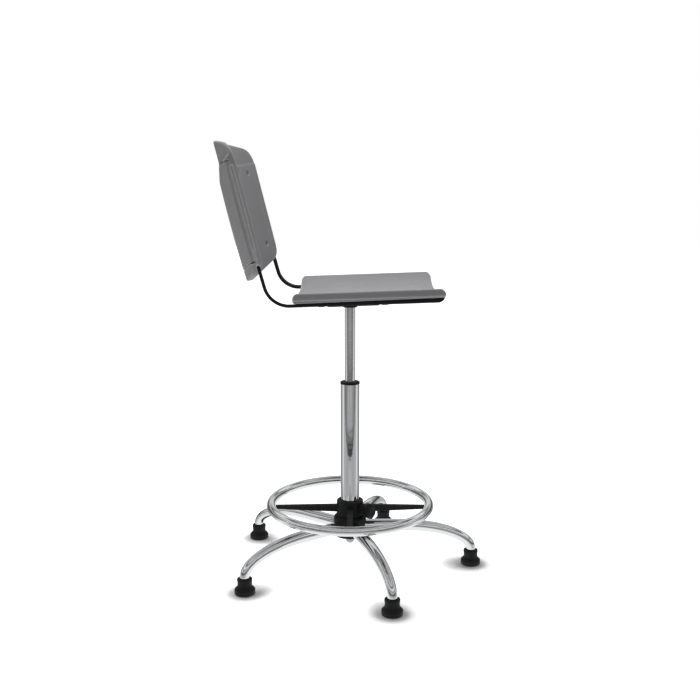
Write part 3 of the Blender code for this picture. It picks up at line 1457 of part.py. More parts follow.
def make_backrest(back, grooves):
    shell = make_shell(back, grooves)
    cover = make_cover(back, grooves)
    strap = add_piece("back_strap", loft_mesh("back_strap", strap_sections()), BLACK_STEEL, parent=back)
    boolean(strap, "DIFFERENCE", grooves)
    holes = cutter_group("Back screw holes")
    for i, (x, z) in enumerate(back_screw_places()):
        place = screw_place(back, x, z)
        turned(f"back_screw_{i + 1}", back_screw_profile(), STEEL, SCREW_SIDES, **place)
        turned_cutter(f"back_screw_hole_{i + 1}", recess_profile(), SCREW_SIDES, group=holes, **place)
    for piece in (shell, cover, strap):
        boolean(piece, "DIFFERENCE", holes)


def main():
    spindle = add_frame("spindle_frame")
    lift = add_frame("lift_frame", parent=spindle)
    seat = add_frame("seat_frame", parent=lift, location=(0, 0, SEAT_Z), rotation=(-SEAT_TILT, 0, 0))
    back = add_frame("back_frame", parent=lift, location=(0, BACK_Y, SEAT_Z + BACK_Z),
                     rotation=(-BACK_RECLINE, 0, 0))
    lever = add_frame("lever_frame", parent=seat, location=(LEVER_PIVOT_X, 0, LEVER_Z))
    ring = add_frame("ring_frame", location=(0, 0, RING_HUB_BOTTOM))
    clamp = add_frame("clamp_frame", parent=ring, location=(0, 0, KNOB_Z),
                      rotation=(0, math.pi / 2, KNOB_ANGLE))

    make_base_hub(make_feet())
    make_column()
    make_bearing(spindle)
    make_rod(spindle)
    make_foot_ring(ring)
    make_liner(ring)
    make_clamp(clamp)
    make_cylinder(lift)
    make_button(lift)
    grooves = make_side_bars(lift, seat)
    make_cross_members(seat)
    screw_holes = make_seat_shell(seat)
    make_seat_screws(seat, screw_holes)
    make_tray(seat, lift)
    make_lever(lever, seat)
    make_backrest(back, grooves)


main()
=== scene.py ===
"""Looks of a high swivel stool, built round its CAD frame.

Metres, +Z up. The origin is on the floor under the column, and the sitter faces -Y.
"""

import math

import bmesh
import bpy
from mathutils import Matrix, Vector


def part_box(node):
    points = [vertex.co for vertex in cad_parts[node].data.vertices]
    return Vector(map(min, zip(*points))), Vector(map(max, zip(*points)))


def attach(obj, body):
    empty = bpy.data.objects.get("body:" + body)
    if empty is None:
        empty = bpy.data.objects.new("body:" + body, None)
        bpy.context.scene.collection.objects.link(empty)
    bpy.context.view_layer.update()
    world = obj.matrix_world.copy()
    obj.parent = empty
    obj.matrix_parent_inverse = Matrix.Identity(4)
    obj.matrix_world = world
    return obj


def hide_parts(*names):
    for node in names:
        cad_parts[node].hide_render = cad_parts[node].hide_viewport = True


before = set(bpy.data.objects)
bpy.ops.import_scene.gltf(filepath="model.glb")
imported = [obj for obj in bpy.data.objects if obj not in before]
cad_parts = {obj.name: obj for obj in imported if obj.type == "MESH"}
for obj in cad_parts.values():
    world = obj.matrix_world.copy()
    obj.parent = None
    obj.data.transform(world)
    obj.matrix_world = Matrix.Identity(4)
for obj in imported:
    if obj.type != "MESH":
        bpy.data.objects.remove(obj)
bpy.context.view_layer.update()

bl_info = {
    "name": "Swivel stool looks",
    "version": (1, 0, 0),
    "blender": (4, 5, 0),
    "location": "3D View > Sidebar > Swivel stool",
    "description": "Builds the visible pieces, finishes and studio of a high swivel stool",
    "category": "Add Mesh",
}

# Clearances that nobody would change
FIT = 0.0003
ROD_GAP = 0.0006
# A radius below this lies on the axis
ON_AXIS = 1e-6
# The photograph's width in pixels, and the camera's sensor in millimetres
PHOTO_SIZE = 700
SENSOR = 36.0
# Length of the gas cylinder's tapered end, and how far the end of its socket lies under the side bars' axis
TAPER_LENGTH = 0.0184
SOCKET_BELOW_BARS = 0.0341


def linear(code):
    """An sRGB hex value as a linear colour."""
    channels = [(code >> shift & 255) / 255 for shift in (16, 8, 0)]
    return tuple(c / 12.92 if c <= 0.04045 else ((c + 0.055) / 1.055) ** 2.4 for c in channels)


def length(name, description, default):
    return bpy.props.FloatProperty(
        name=name, description=description, default=default, min=0.0, precision=4, unit="LENGTH"
    )


def turn_angle(name, description, default):
    return bpy.props.FloatProperty(
        name=name, description=description, default=math.radians(default), subtype="ANGLE"
    )


def share(name, description, default):
    return bpy.props.FloatProperty(
        name=name, description=description, default=default, min=0.0, max=1.0, subtype="FACTOR"
    )


def amount(name, description, default):
    return bpy.props.FloatProperty(name=name, description=description, default=default, min=0.0)


def count(name, description, default, fewest, most):
    return bpy.props.IntProperty(name=name, description=description, default=default, min=fewest, max=most)


def tint(name, description, code):
    return bpy.props.FloatVectorProperty(
        name=name, description=description, default=linear(code), size=3, min=0.0, max=1.0, subtype="COLOR"
    )


def low_of(node):
    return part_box(node)[0]


def high_of(node):
    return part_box(node)[1]


def radius_of(node):
    low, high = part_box(node)
    return (high.x - low.x) / 2


# Levels that the frame gives
GLIDE_TOP = high_of("glide_1").z
FOOT_CIRCLE_R = -(low_of("glide_1").y + high_of("glide_1").y) / 2
HUB_BOTTOM = low_of("base_hub").z
HUB_TOP = high_of("base_hub").z
COLUMN_BOTTOM = low_of("column_tube").z
COLUMN_TOP = high_of("column_tube").z
CYLINDER_TOP = high_of("gas_cylinder").z
CYLINDER_BOTTOM = low_of("gas_cylinder").z
RING_HUB_BOTTOM = low_of("ring_hub").z
RING_HUB_TOP = high_of("ring_hub").z
RING_Z = (low_of("foot_ring").z + high_of("foot_ring").z) / 2
SEAT_Z = CYLINDER_TOP - TAPER_LENGTH + SOCKET_BELOW_BARS


class BaseSizes(bpy.types.PropertyGroup):
    """Sizes of the five-leg base."""

    legs: count("Legs", "Number of legs", 5, 3, 7)
    leg_rise: length("Leg rise", "Height of a leg's axis at the hub over its foot end", 0.069)
    leg_straight: length("Straight reach", "Radius at which a leg starts to bend down", 0.145)
    leg_root: length("Leg root", "Radius at which a leg ends inside the hub", 0.031)
    leg_width: length("Leg width", "Width of a leg's oval at the hub", 0.034)
    leg_height: length("Leg height", "Height of a leg's oval at the hub", 0.031)
    foot_width: length("Foot width", "Diameter of a leg's round foot end", 0.0255)
    foot_round: length("Foot rounding", "Rounding of the tube's end over the glide", 0.0022)
    hub_r: length("Hub radius", "Outer radius of the hub", radius_of("base_hub"))
    hub_top_r: length("Hub top radius", "Radius of the hub's flat top", 0.036)
    hub_shoulder: length("Hub shoulder", "Height of the hub's round shoulder", 0.011)
    hub_round: length("Hub rounding", "Rounding of the hub's lower edge", 0.0032)
    glide_flange_r: length("Glide radius", "Radius of a glide's flange", 0.02625)
    glide_flange_height: length("Flange height", "Height of a glide's flange", 0.0165)
    glide_neck_r: length("Glide neck radius", "Radius of a glide's neck", 0.0192)
    glide_waist: length("Glide waist", "How far the neck draws in over the flange", 0.0009)
    glide_head: length("Glide head", "Height of the straight part at the neck's top", 0.0065)
    glide_groove_z: length("Groove height", "Height of the groove round the flange", 0.0064)
    glide_groove: length("Groove", "Half width of the groove round the flange", 0.0008)
    stem_bore_r: length("Stem bore radius", "Radius of the bore for a glide's stem", 0.0058)
    stem_in_leg: length("Bore in the leg", "Depth of the stem's bore in a leg", 0.0226)
    stem_in_glide: length("Bore in the glide", "Depth of the stem's bore in a glide", 0.0243)


class LiftSizes(bpy.types.PropertyGroup):
    """Sizes of the column and the gas lift."""

    column_r: length("Column radius", "Outer radius of the column tube", radius_of("column_tube"))
    column_wall: length("Column wall", "Wall of the column tube", 0.0018)
    column_floor: length("Column floor", "Thickness of the column's floor", 0.004)
    guide_r: length("Guide radius", "Radius of the black guide's cap", 0.0258)
    guide_cap: length("Guide cap", "Height of the guide's cap over the column", 0.0055)
    guide_depth: length("Guide depth", "How far the guide reaches down the column", 0.085)
    cylinder_r: length("Cylinder radius", "Radius of the gas cylinder", 0.014)
    taper_drop: length("Taper", "How much thinner the cylinder is at its top end", 0.0008)
    rod_r: length("Rod radius", "Radius of the piston rod", 0.005)
    edge: length("Tube edge", "Rounding of the column's mouth", 0.0006)
    chamber_r: length("Chamber radius", "Radius of the chamber in the gas cylinder", 0.0115)
    chamber_floor: length("Chamber floor", "Thickness of the cylinder's lower end", 0.018)
    chamber_roof: length("Chamber roof", "Taper's foot to the chamber's upper end", 0.026)
    button_r: length("Button bore", "Radius of the bore for the valve button", 0.0043)
    button_depth: length("Button depth", "Depth of the bore for the valve button", 0.0116)
    collar_r: length("Collar radius", "Radius of the steel collar under the hub", 0.0108)
    collar_groove: length("Collar groove", "Depth of the groove round the steel collar", 0.0008)


class RingSizes(bpy.types.PropertyGroup):
    """Sizes of the foot ring, its hub and its knob."""

    ring_r: length("Ring radius", "Radius to the middle of the ring's tube", 0.2105)
    tube_r: length("Tube radius", "Radius of the ring's tube", 0.0122)
    hub_r: length("Hub radius", "Outer radius of the ring's hub", 0.0355)
    hub_round: length("Hub rounding", "Rounding of the hub's upper edge", 0.0034)
    hub_flare: length("Hub flare", "How much wider the hub is at its foot", 0.0015)
    hub_flare_height: length("Flare height", "Height over which the hub widens", 0.003)
    bore_r: length("Bore radius", "Radius of the hub's bore", 0.0278)
    spokes: count("Spokes", "Number of spokes", 4, 2, 8)
    spoke_root: length("Spoke root", "How deep a spoke's root sits in the hub", 0.003)
    spoke_width: length("Spoke width", "Width of a spoke at the hub", 0.016)
    spoke_tip_width: length("Spoke tip width", "Width of a spoke at the ring", 0.011)
    spoke_flange: length("Spoke flange", "Thickness of a spoke's flat top", 0.004)
    spoke_web: length("Spoke web", "Thickness of the rib under a spoke's top", 0.005)
    spoke_top: length("Spoke top", "Hub's underside to a spoke's top at the hub", 0.0270)
    spoke_tip_top: length("Spoke tip top", "Hub's underside to a spoke's top at the ring", 0.0245)
    spoke_bottom: length("Spoke bottom", "Hub's underside to a spoke's underside at the hub", 0.0065)
    spoke_tip_bottom: length("Spoke tip bottom", "Hub's underside to a spoke's underside at the ring", 0.0145)
    knob_angle: turn_angle("Knob heading", "Heading of the clamp knob, seen from above", 236.0)
    knob_z: length("Knob height", "Height of the knob's axis over the hub's underside", 0.0195)
    knob_r: length("Knob radius", "Radius over the knob's lobes", 0.0205)
    knob_length: length("Knob length", "Length of the knob", 0.0225)
    knob_lobes: count("Knob lobes", "Number of lobes round the knob", 6, 3, 9)
    knob_lobe: length("Lobe depth", "Depth of the hollows between the knob's lobes", 0.0020)
    boss_r: length("Boss radius", "Radius of the boss that carries the clamp screw", 0.011)
    boss_reach: length("Boss reach", "How far the boss stands out of the hub", 0.0135)
    boss_root: length("Boss root", "How far outside the bore the boss starts", 0.0022)
    stud_r: length("Stud radius", "Radius of the clamp screw", 0.004)
    stud_end: length("Stud end", "How far outside the bore the clamp screw ends", 0.0043)


class BarSizes(bpy.types.PropertyGroup):
    """Sizes of the two bent side bars."""

    x: length("Bar offset", "Middle line to the bar's centre line", 0.2165)
    width: length("Bar width", "Width of the flat-oval bar", 0.020)
    thickness: length("Bar thickness", "Thickness of the flat-oval bar", 0.008)
    cant: turn_angle("Bar cant", "Lean of the bar's section", 8.0)
    bend_r: length("Bend radius", "Radius of the bend behind the seat", 0.060)
    front: length("Front reach", "Column axis to the bar's front end", 0.2185)
    corner: length("Corner reach", "Column axis to the corner that the bend rounds", 0.1886)
    tip_reach: length("Tip length", "Length over which the bar's front end rises", 0.030)
    tip_rise: length("Tip rise", "How far the bar's front end rises", 0.0125)
    depth: length("Depth in the back", "Backrest's frame to the bar's centre line", 0.0121)
    entry: length("Entry", "How far below the backrest's frame the bend has ended", 0.125)
    top: length("Top", "How far above the backrest's frame the bar ends", 0.120)
    # Painted shade: a dark strip fills the shaded gap between a bar and the seat's side
    rail: length("Rail thickness", "Thickness of the strip under the seat's side", 0.004)
    gap_shade_strip_inset: length("Rail inset", "Bar's outer edge to the middle of the strip", 0.004)


class SeatSizes(bpy.types.PropertyGroup):
    """Sizes of the seat shell."""

    tilt: turn_angle("Tilt", "Backward tilt of the seat", 2.0)
    half_width: length("Half width", "Middle line to the seat's outer edge", 0.2293)
    rim_height: length("Rim height", "Height of the rim over the side bars' axis", 0.0295)
    rim_round: length("Rim rounding", "Rounding of the rim's outer edge", 0.0042)
    rim_width: length("Rim width", "Width of the rolled rim", 0.0068)
    front: length("Front reach", "Column axis to the front end", 0.2262)
    rear: length("Rear reach", "Column axis to the rear end", 0.135)
    flat_half: length("Flat half", "Half width of the flat part of the pan", 0.130)
    wall: length("Wall", "Thickness of the moulded wall", 0.0045)
    lip_height: length("Lip height", "Height of the rim's outer lip", 0.0160)
    lip_step: length("Lip step", "How far the side steps in under the lip", 0.0022)
    band_rise: length("Band rise", "How much the sides' lower edge rises to the front", 0.0033)
    nose_r: length("Nose radius", "Rounding of the sides' lower front corner", 0.0058)
    front_corner_r: length("Front corner", "Rounding of the sides' upper front corner", 0.0145)
    rear_corner_r: length("Rear corner", "Rounding of the sides' upper rear corner", 0.013)
    pan_top: length("Pan height", "Height of the pan over the side bars' axis", 0.002)
    waterfall: length("Waterfall drop", "How far the pan's front edge rolls down", 0.006)
    waterfall_length: length("Waterfall length", "Length over which the pan rolls down", 0.050)
    edge_round: length("Edge rounding", "Rounding of the moulded wall's edges", 0.0011)
    boss_r: length("Boss radius", "Radius of the screws' bosses under the pan", 0.009)
    boss_drop: length("Boss drop", "How far the bosses stand out of the pan's underside", 0.003)
    boss_x: length("Boss offset", "Middle line to the bosses", 0.105)
    boss_front: length("Front bosses", "Column axis to the front bosses", 0.085)
    boss_rear: length("Rear bosses", "Column axis to the rear bosses", 0.070)


class BackSizes(bpy.types.PropertyGroup):
    """Sizes of the backrest's shell and its rear cover."""

    y: length("Back reach", "Column axis to the backrest's frame", 0.2325)
    z: length("Back height", "Seat to the backrest's frame", 0.2098)
    recline: turn_angle("Recline", "Lean of the backrest", 13.9)
    half_width: length("Half width", "Middle line to the shell's outer edge", 0.230)
    hollow_r: length("Hollow radius", "Radius of the hollow front face", 0.517)
    hollow: length("Hollow depth", "Depth of the front face in the middle", 0.0515)
    panel: length("Panel", "Thickness of the upper panel", 0.0093)
    wall: length("Wall", "Thickness of the shell's wall", 0.0040)
    top: length("Top", "Height of the upper edge in the middle", 0.1940)
    top_arch: length("Top arch", "How far the upper edge falls to the sides", 0.0270)
    bottom: length("Bottom", "Depth of the lower edge in the middle, below the frame", 0.1626)
    bottom_arch: length("Bottom arch", "How far the lower edge rises to the sides", 0.0300)
    top_corner_r: length("Top corners", "Radius of the upper corners", 0.046)
    bottom_corner_r: length("Bottom corners", "Radius of the lower corners", 0.036)
    front_round: length("Front rounding", "Rounding of the front face's edge", 0.0042)
    rear_round: length("Rear rounding", "Rounding of the rear edge", 0.0044)
    crease_z: length("Crease height", "Height of the crease across the front", 0.130)
    crease_height: length("Crease width", "Height of the crease's slope", 0.008)
    crease_depth: length("Crease depth", "How far the upper panel is set back", 0.0016)
    rim_wall: length("Rim wall", "Thickness of the shell's side walls", 0.0032)
    rim_depth: length("Rim depth", "Depth of the shell's side walls", 0.015)
    apron: length("Apron", "Height of the shell below its rear cover", 0.0260)
    cover_r: length("Cover radius", "Radius of the cover's rear face", 0.594)
    cover_depth: length("Cover depth", "Depth of the cover's rear face in the middle", 0.0733)
    cover_wall: length("Cover wall", "Thickness of the cover", 0.0028)
    cover_inset: length("Cover inset", "Shell's outer edge to the cover's", 0.0015)
    cover_gap: length("Cover gap", "Gap between the cover's lower edge and the apron", 0.0010)
    cover_arch: length("Cover arch", "How far the cover's lower edge rises to the sides", 0.0260)
    cover_top_r: length("Cover's top corners", "Radius of the cover's upper corners", 0.0040)
    cover_bottom_r: length("Cover's bottom corners", "Radius of the cover's lower corners", 0.0120)
    cover_round: length("Cover rounding", "Rounding of the cover's edges", 0.0055)
    seam: length("Seam", "Rounding of the cover's edge along the seam to the shell", 0.0008)
    channel: length("Channel", "Width of the channel's floor along the seam", 0.0075)
    channel_depth: length("Channel depth", "Depth of the channel along the seam", 0.0025)
    channel_low: length("Channel's foot", "How far the channel starts below the apron's upper corner", 0.006)
    channel_high: length("Channel's head", "How far the channel ends below the crease", 0.012)
    cover_fall: length("Cover fall", "How far the cover's face falls in at its ends", 0.0033)
    cover_reach: length("Cover reach", "Backrest's frame to the cover's ends", 0.152)
    shoulder: length("Shoulder", "Height over which the shell's rear shoulder runs out", 0.017)
    shoulder_side: length("Shoulder's side", "Width over which the shoulder runs out", 0.0328571)
    chamfer_side: length("Chamfer's side", "Width over which the cover's chamfer runs out", 0.1314286)
    chamfer_height: length("Chamfer height", "Height of the slope at the cover's top", 0.040)
    chamfer_depth: length("Chamfer depth", "Depth of the slope at the cover's top", 0.0075)
    recess_r: length("Recess radius", "Radius of the screws' recesses", 0.0062)
    dish_r: length("Dish radius", "Radius of the shallow dish round each recess", 0.0098)
    dish_depth: length("Dish depth", "Depth of the dish", 0.0022)
    recess_depth: length("Recess depth", "Depth of the screws' recesses", 0.0042)
    screw_head_r: length("Screw head radius", "Radius of the screws' heads", 0.0050)
    screw_head: length("Screw head height", "Height of the screws' heads", 0.0025)
    screw_shank_r: length("Screw radius", "Radius of the screws' shanks", 0.0021)
    screw_length: length("Screw length", "Length of the screws with their heads", 0.0100)
    socket_r: length("Socket radius", "Radius over the corners of the screws' hexagon sockets", 0.0023)
    socket_depth: length("Socket depth", "Depth of the screws' hexagon sockets", 0.0016)
    post_r: length("Post radius", "Radius of the posts that take the screws", 0.008)


class FinishSettings(bpy.types.PropertyGroup):
    """Colours and gloss of the stool."""

    shell: tint("Shell grey", "Colour of the moulded seat and back", 0x8B8A8C)
    shell_roughness: share("Shell roughness", "Roughness of the moulded shells", 0.42)
    black: tint("Bar black", "Colour of the powder-coated bars", 0x151516)
    nylon: tint("Nylon black", "Colour of the moulded black parts", 0x121213)
    chrome: tint("Chrome", "Colour of the bright plating", 0xE9EAEC)
    cylinder: tint("Cylinder", "Colour of the ground hard chrome", 0xECECEE)
    zinc: tint("Zinc", "Colour of the small steel parts", 0xB4B5B6)
    rubber: tint("Rubber", "Colour of the bumper", 0x121212)


class StudioSettings(bpy.types.PropertyGroup):
    """Camera, floor and light."""

    distance: length("Camera distance", "Column axis to the camera", 2.426)
    height: length("Camera height", "Floor to the camera", 1.009)
    pitch: turn_angle("Camera pitch", "How far the camera looks down", 9.85)
    focal: amount("Focal length", "Focal length in pixels of the picture", 944.0)
    floor_r: length("Floor radius", "Radius of the pale floor", 14.0)
    key_x: length("Key offset", "Column axis to the softbox on the sitter's left", 0.45)
    key_y: length("Key setback", "Column axis to the softbox behind the sitter", 0.50)
    key_height: length("Key height", "Height of the overhead softbox", 2.7)
    key_size: length("Key size", "Side of the overhead softbox", 1.3)
    key_power: amount("Key power", "Power of the overhead softbox in watts", 40.0)
    # The paper's shadows are painted: its glow dims where a piece comes within this reach
    shadow_reach: length("Shadow reach", "How close a piece has to be to darken the paper", 0.082)
    card_edge: length("Card edge", "Column axis to the lit paper's edge on the camera's side", 1.07)
    card_reach: length("Card reach", "Column axis to the lit paper's other edges", 3.5)
    room: amount("Room light", "Strength of the light from all round", 0.95)


GROUPS = {
    "base": BaseSizes,
    "lift": LiftSizes,
    "ring": RingSizes,
    "bars": BarSizes,
    "seat": SeatSizes,
    "back": BackSizes,
    "finish": FinishSettings,
    "studio": StudioSettings,
}


def settings(group):
    return getattr(bpy.context.scene, "stool_" + group)


# Mesh helpers


def steps_between(low, high, count):
    return [low + (high - low) * i / count for i in range(count + 1)]


def ramp(value, low, high):
    """0 up to the low value, 1 from the high value on, straight between."""
    return min(1.0, max(0.0, (value - low) / (high - low)))


def eased(value):
    return value * value * (3 - 2 * value)


def smooth(mesh, angle=30.0):
    mesh.shade_smooth()
    mesh.set_sharp_from_angle(angle=math.radians(angle))
    return mesh


def as_mesh(work, name, matrix, angle=30.0):
    bmesh.ops.recalc_face_normals(work, faces=work.faces)
    bmesh.ops.transform(work, matrix=matrix, verts=work.verts)
    mesh = bpy.data.meshes.new(name)
    work.to_mesh(mesh)
    work.free()
    return smooth(mesh, angle)


def arc(centre, radius, start, end, steps):
    """Points of an arc, angles in degrees, both ends included."""
    x, y = centre
    turns = [math.radians(turn) for turn in steps_between(start, end, steps)]
    return [(x + radius * math.cos(angle), y + radius * math.sin(angle)) for angle in turns]


def fillet(before, corner, after, radius, steps):
    """Points of the arc that rounds the corner between two straight runs."""
    corner = Vector(corner[:2])
    towards_before = (Vector(before[:2]) - corner).normalized()
    towards_after = (Vector(after[:2]) - corner).normalized()
    half = towards_before.angle(towards_after) / 2
    start = corner + towards_before * (radius / math.tan(half))
    centre = corner + (towards_before + towards_after).normalized() * (radius / math.sin(half))
    arm = start - centre
    sign = -1.0 if towards_before.cross(towards_after) > 0 else 1.0
    points = []
    for i in range(steps + 1):
        spin = Matrix.Rotation(sign * (math.pi - 2 * half) * i / steps, 2)
        points.append(tuple(centre + spin @ arm))
    return points


def softened(corners, closed=True, steps=6):
    """Plain points of an outline given as (x, y) or, where the corner is rounded, (x, y, radius)."""
    points = []
    for i, corner in enumerate(corners):
        if len(corner) == 3 and (closed or 0 < i < len(corners) - 1):
            points += fillet(corners[i - 1], corner, corners[(i + 1) % len(corners)], corner[2], steps)
        else:
            points.append(tuple(corner[:2]))
    return points


def turned(name, profile, sides=96, closed=True, matrix=Matrix()):
    """Turns a profile of (radius, height) points round the Z axis."""
    work = bmesh.new()
    rings = []
    for radius, height in profile:
        turns = steps_between(0.0, 2 * math.pi, sides)[:1 if radius < ON_AXIS else sides]
        rings.append([work.verts.new((radius * math.cos(a), radius * math.sin(a), height)) for a in turns])
    pairs = list(zip(rings, rings[1:]))
    if closed:
        pairs.append((rings[-1], rings[0]))
    for near, far in pairs:
        for k in range(sides):
            j = k + 1
            corners = [ring[i % len(ring)] for ring, i in ((near, k), (near, j), (far, j), (far, k))]
            corners = list(dict.fromkeys(corners))
            if len(corners) > 2:
                work.faces.new(corners)
    return as_mesh(work, name, matrix)


def lofted(name, sections, matrix=Matrix(), angle=30.0):
    """Skins a row of closed sections with the same number of points, and caps both ends."""
    work = bmesh.new()
    rings = [[work.verts.new(point) for point in section] for section in sections]
    for near, far in zip(rings, rings[1:]):
        for i, vert in enumerate(near):
            j = (i + 1) % len(near)
            work.faces.new((vert, near[j], far[j], far[i]))
    work.faces.new(list(reversed(rings[0])))
    work.faces.new(rings[-1])
    return as_mesh(work, name, matrix, angle)


def carved(mesh, tools, operation="DIFFERENCE", angle=30.0):
    """The mesh with other meshes cut out of it, or joined to it. All of them are used up."""
    scene = bpy.context.scene.collection
    body = bpy.data.objects.new("carved", mesh)
    scene.objects.link(body)
    used = [body]
    for tool in tools:
        other = bpy.data.objects.new("carving_tool", tool)
        scene.objects.link(other)
        used.append(other)
        modifier = body.modifiers.new("Carve", "BOOLEAN")
        modifier.operation = operation
        modifier.solver = "EXACT"
        modifier.object = other
    graph = bpy.context.evaluated_depsgraph_get()
    result = bpy.data.meshes.new_from_object(body.evaluated_get(graph))
    result.name = mesh.name
    for obj in used:
        bpy.data.objects.remove(obj, do_unlink=True)
    return smooth(result, angle)


def place_piece(name, mesh, finish, body, nodes):
    """Puts a mesh in the scene in its finish, rides it on its body and lets it stand for its CAD nodes."""
    obj = bpy.data.objects.new(name, mesh)
    bpy.context.scene.collection.objects.link(obj)
    mesh.materials.clear()
    mesh.materials.append(bpy.data.materials[finish])
    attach(obj, body)
    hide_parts(*nodes)
    return obj


def soften_edges(obj, width, angle=40.0):
    modifier = obj.modifiers.new("Soft edges", "BEVEL")
    modifier.width = width
    modifier.segments = 3
    modifier.limit_method = "ANGLE"
    modifier.angle_limit = math.radians(angle)
    modifier.use_clamp_overlap = True
    modifier.harden_normals = True


def dress_node(node, finish, edge=0.0):
    """Gives a CAD node that stays in view its finish, and soft edges where it is bent or pressed."""
    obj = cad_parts[node]
    obj.data.materials.clear()
    obj.data.materials.append(bpy.data.materials[finish])
    if edge:
        soften_edges(obj, edge)


# Finishes


def feed(tree, node, inputs):
    """Sets or links a node's inputs."""
    for socket, value in inputs.items():
        if isinstance(value, bpy.types.NodeSocket):
            tree.links.new(value, node.inputs[socket])
        else:
            node.inputs[socket].default_value = value


def add_node(tree, kind, inputs=None, **values):
    """Adds a node with its settings and its inputs."""
    node = tree.nodes.new("ShaderNode" + kind)
    for key, value in values.items():
        setattr(node, key, value)
    feed(tree, node, inputs or {})
    return node


def new_finish(name):
    material = bpy.data.materials.new(name)
    material.use_nodes = True
    return material.node_tree, material.node_tree.nodes["Principled BSDF"]


def per_metre(millimetres):
    """Noise scale whose pattern repeats about every so many millimetres."""
    return 1000.0 / millimetres


def surface_point(tree):
    return add_node(tree, "TexCoord").outputs["Object"]


def noise(tree, point, millimetres, detail=2.0):
    inputs = {"Vector": point, "Scale": per_metre(millimetres), "Detail": detail, "Roughness": 0.55}
    return add_node(tree, "TexNoise", inputs).outputs["Fac"]


def between(tree, value, low, high, start=0.3, end=0.7, kind="LINEAR"):
    """Stretches a value from start..end to low..high."""
    inputs = {"Value": value, "From Min": start, "From Max": end, "To Min": low, "To Max": high}
    return add_node(tree, "MapRange", inputs, interpolation_type=kind).outputs["Result"]


def blend_colours(tree, factor, first, second):
    node = add_node(tree, "Mix", data_type="RGBA")
    feed(tree, node, {0: factor, 6: first, 7: second})
    return node.outputs[2]


def shade_of(colour, factor):
    """A colour made lighter or darker, as a node takes it."""
    return (*(min(1.0, channel * factor) for channel in colour), 1.0)


def blend_values(tree, factor, first, second):
    return add_node(tree, "Mix", {0: factor, 2: first, 3: second}, data_type="FLOAT").outputs[0]


def grey(value):
    return (value, value, value, 1.0)


def maths(tree, operation, first, second=0.0):
    return add_node(tree, "Math", {0: first, 1: second}, operation=operation).outputs[0]


def edges_for_wear_and_highlight(tree, radius, strength):
    """0 on open faces and the strength on edges, where the bevelled normal leans away from the true one: a
    mask for worn edges, and on the moulded shells also for a painted highlight.
    """
    rounded = add_node(tree, "Bevel", {"Radius": radius}, samples=4).outputs["Normal"]
    true_normal = add_node(tree, "NewGeometry").outputs["Normal"]
    lean = add_node(tree, "VectorMath", {0: rounded, 1: true_normal}, operation="DOT_PRODUCT")
    return between(tree, lean.outputs["Value"], strength, 0.0, 0.90, 0.998)


def bump(tree, height, strength, distance):
    inputs = {"Height": height, "Strength": strength, "Distance": distance}
    return add_node(tree, "Bump", inputs).outputs["Normal"]


def make_moulded_polypropylene(look):
    """Injection-moulded polypropylene from a spark-eroded tool: satin grey, a fine grain that breaks up the
    gloss, faint flow clouds, and edges worn a little smoother and painted much paler: partly worn, partly a
    painted highlight along the lit rims."""
    tree, shader = new_finish("moulded_polypropylene")
    point = surface_point(tree)
    clouds = noise(tree, point, 90.0, 3.0)
    # The real grain is about 0.15 mm and is drawn at 1.2 mm so that it shows
    grain = noise(tree, point, 1.2, 4.0)
    scuffs = noise(tree, point, 22.0, 6.0)
    cloudy = blend_colours(tree, clouds, shade_of(look.shell, 0.93), shade_of(look.shell, 1.06))
    grainy = blend_colours(tree, between(tree, grain, 0.0, 0.22), cloudy, shade_of(look.shell, 0.74))
    # Painted highlight: the edges are painted much paler, partly as worn edges, partly for the light that the
    # rims catch
    wear_and_highlight = edges_for_wear_and_highlight(tree, 0.0048, 0.75)
    rubbed_and_highlit = blend_colours(tree, wear_and_highlight, grainy, shade_of(look.shell, 2.30))
    satin = look.shell_roughness
    feed(tree, shader, {
        "Base Color": rubbed_and_highlit,
        "Roughness": between(tree, scuffs, satin - 0.05, satin + 0.08),
        "IOR": 1.49,
        "Normal": bump(tree, grain, 0.22, 0.00022),
    })


def make_powder_coated_steel(look):
    """Black epoxy powder baked on bent steel bar: a soft sheen with orange peel, greyer where edges rub."""
    tree, shader = new_finish("powder_coated_steel")
    point = surface_point(tree)
    # Orange peel is 0.5 to 1 mm across and is drawn at 2 mm
    peel = noise(tree, point, 2.0, 1.0)
    dust = noise(tree, point, 35.0, 5.0)
    dull = between(tree, dust, 0.0, 0.5)
    dusty = blend_colours(tree, dull, shade_of(look.black, 1.0), shade_of(look.black, 1.5))
    worn = blend_colours(tree, edges_for_wear_and_highlight(tree, 0.0012, 0.25), dusty, shade_of(linear(0x333334), 1.0))
    feed(tree, shader, {
        "Base Color": worn,
        "Roughness": between(tree, dust, 0.48, 0.62),
        "IOR": 1.52,
        "Specular IOR Level": 0.22,
        "Normal": bump(tree, peel, 0.25, 0.00025),
    })


def make_glass_filled_nylon(look):
    """Glass-filled nylon, moulded black: dull, with short pale fibre flecks and a dry, uneven skin."""
    tree, shader = new_finish("glass_filled_nylon")
    point = surface_point(tree)
    # The fibres are 0.2 mm and are drawn at 1.5 mm
    flecks = noise(tree, point, 1.5, 6.0)
    skin = noise(tree, point, 14.0, 4.0)
    fibres = between(tree, flecks, 0.0, 0.6, 0.58, 0.74)
    flecked = blend_colours(tree, fibres, shade_of(look.nylon, 1.0), shade_of(look.nylon, 2.4))
    worn = blend_colours(tree, edges_for_wear_and_highlight(tree, 0.0015, 0.3), flecked, shade_of(linear(0x2B2B2C), 1.0))
    feed(tree, shader, {
        "Base Color": worn,
        "Roughness": between(tree, skin, 0.50, 0.66),
        "IOR": 1.53,
        "Specular IOR Level": 0.25,
        "Normal": bump(tree, flecks, 0.2, 0.0002),
    })


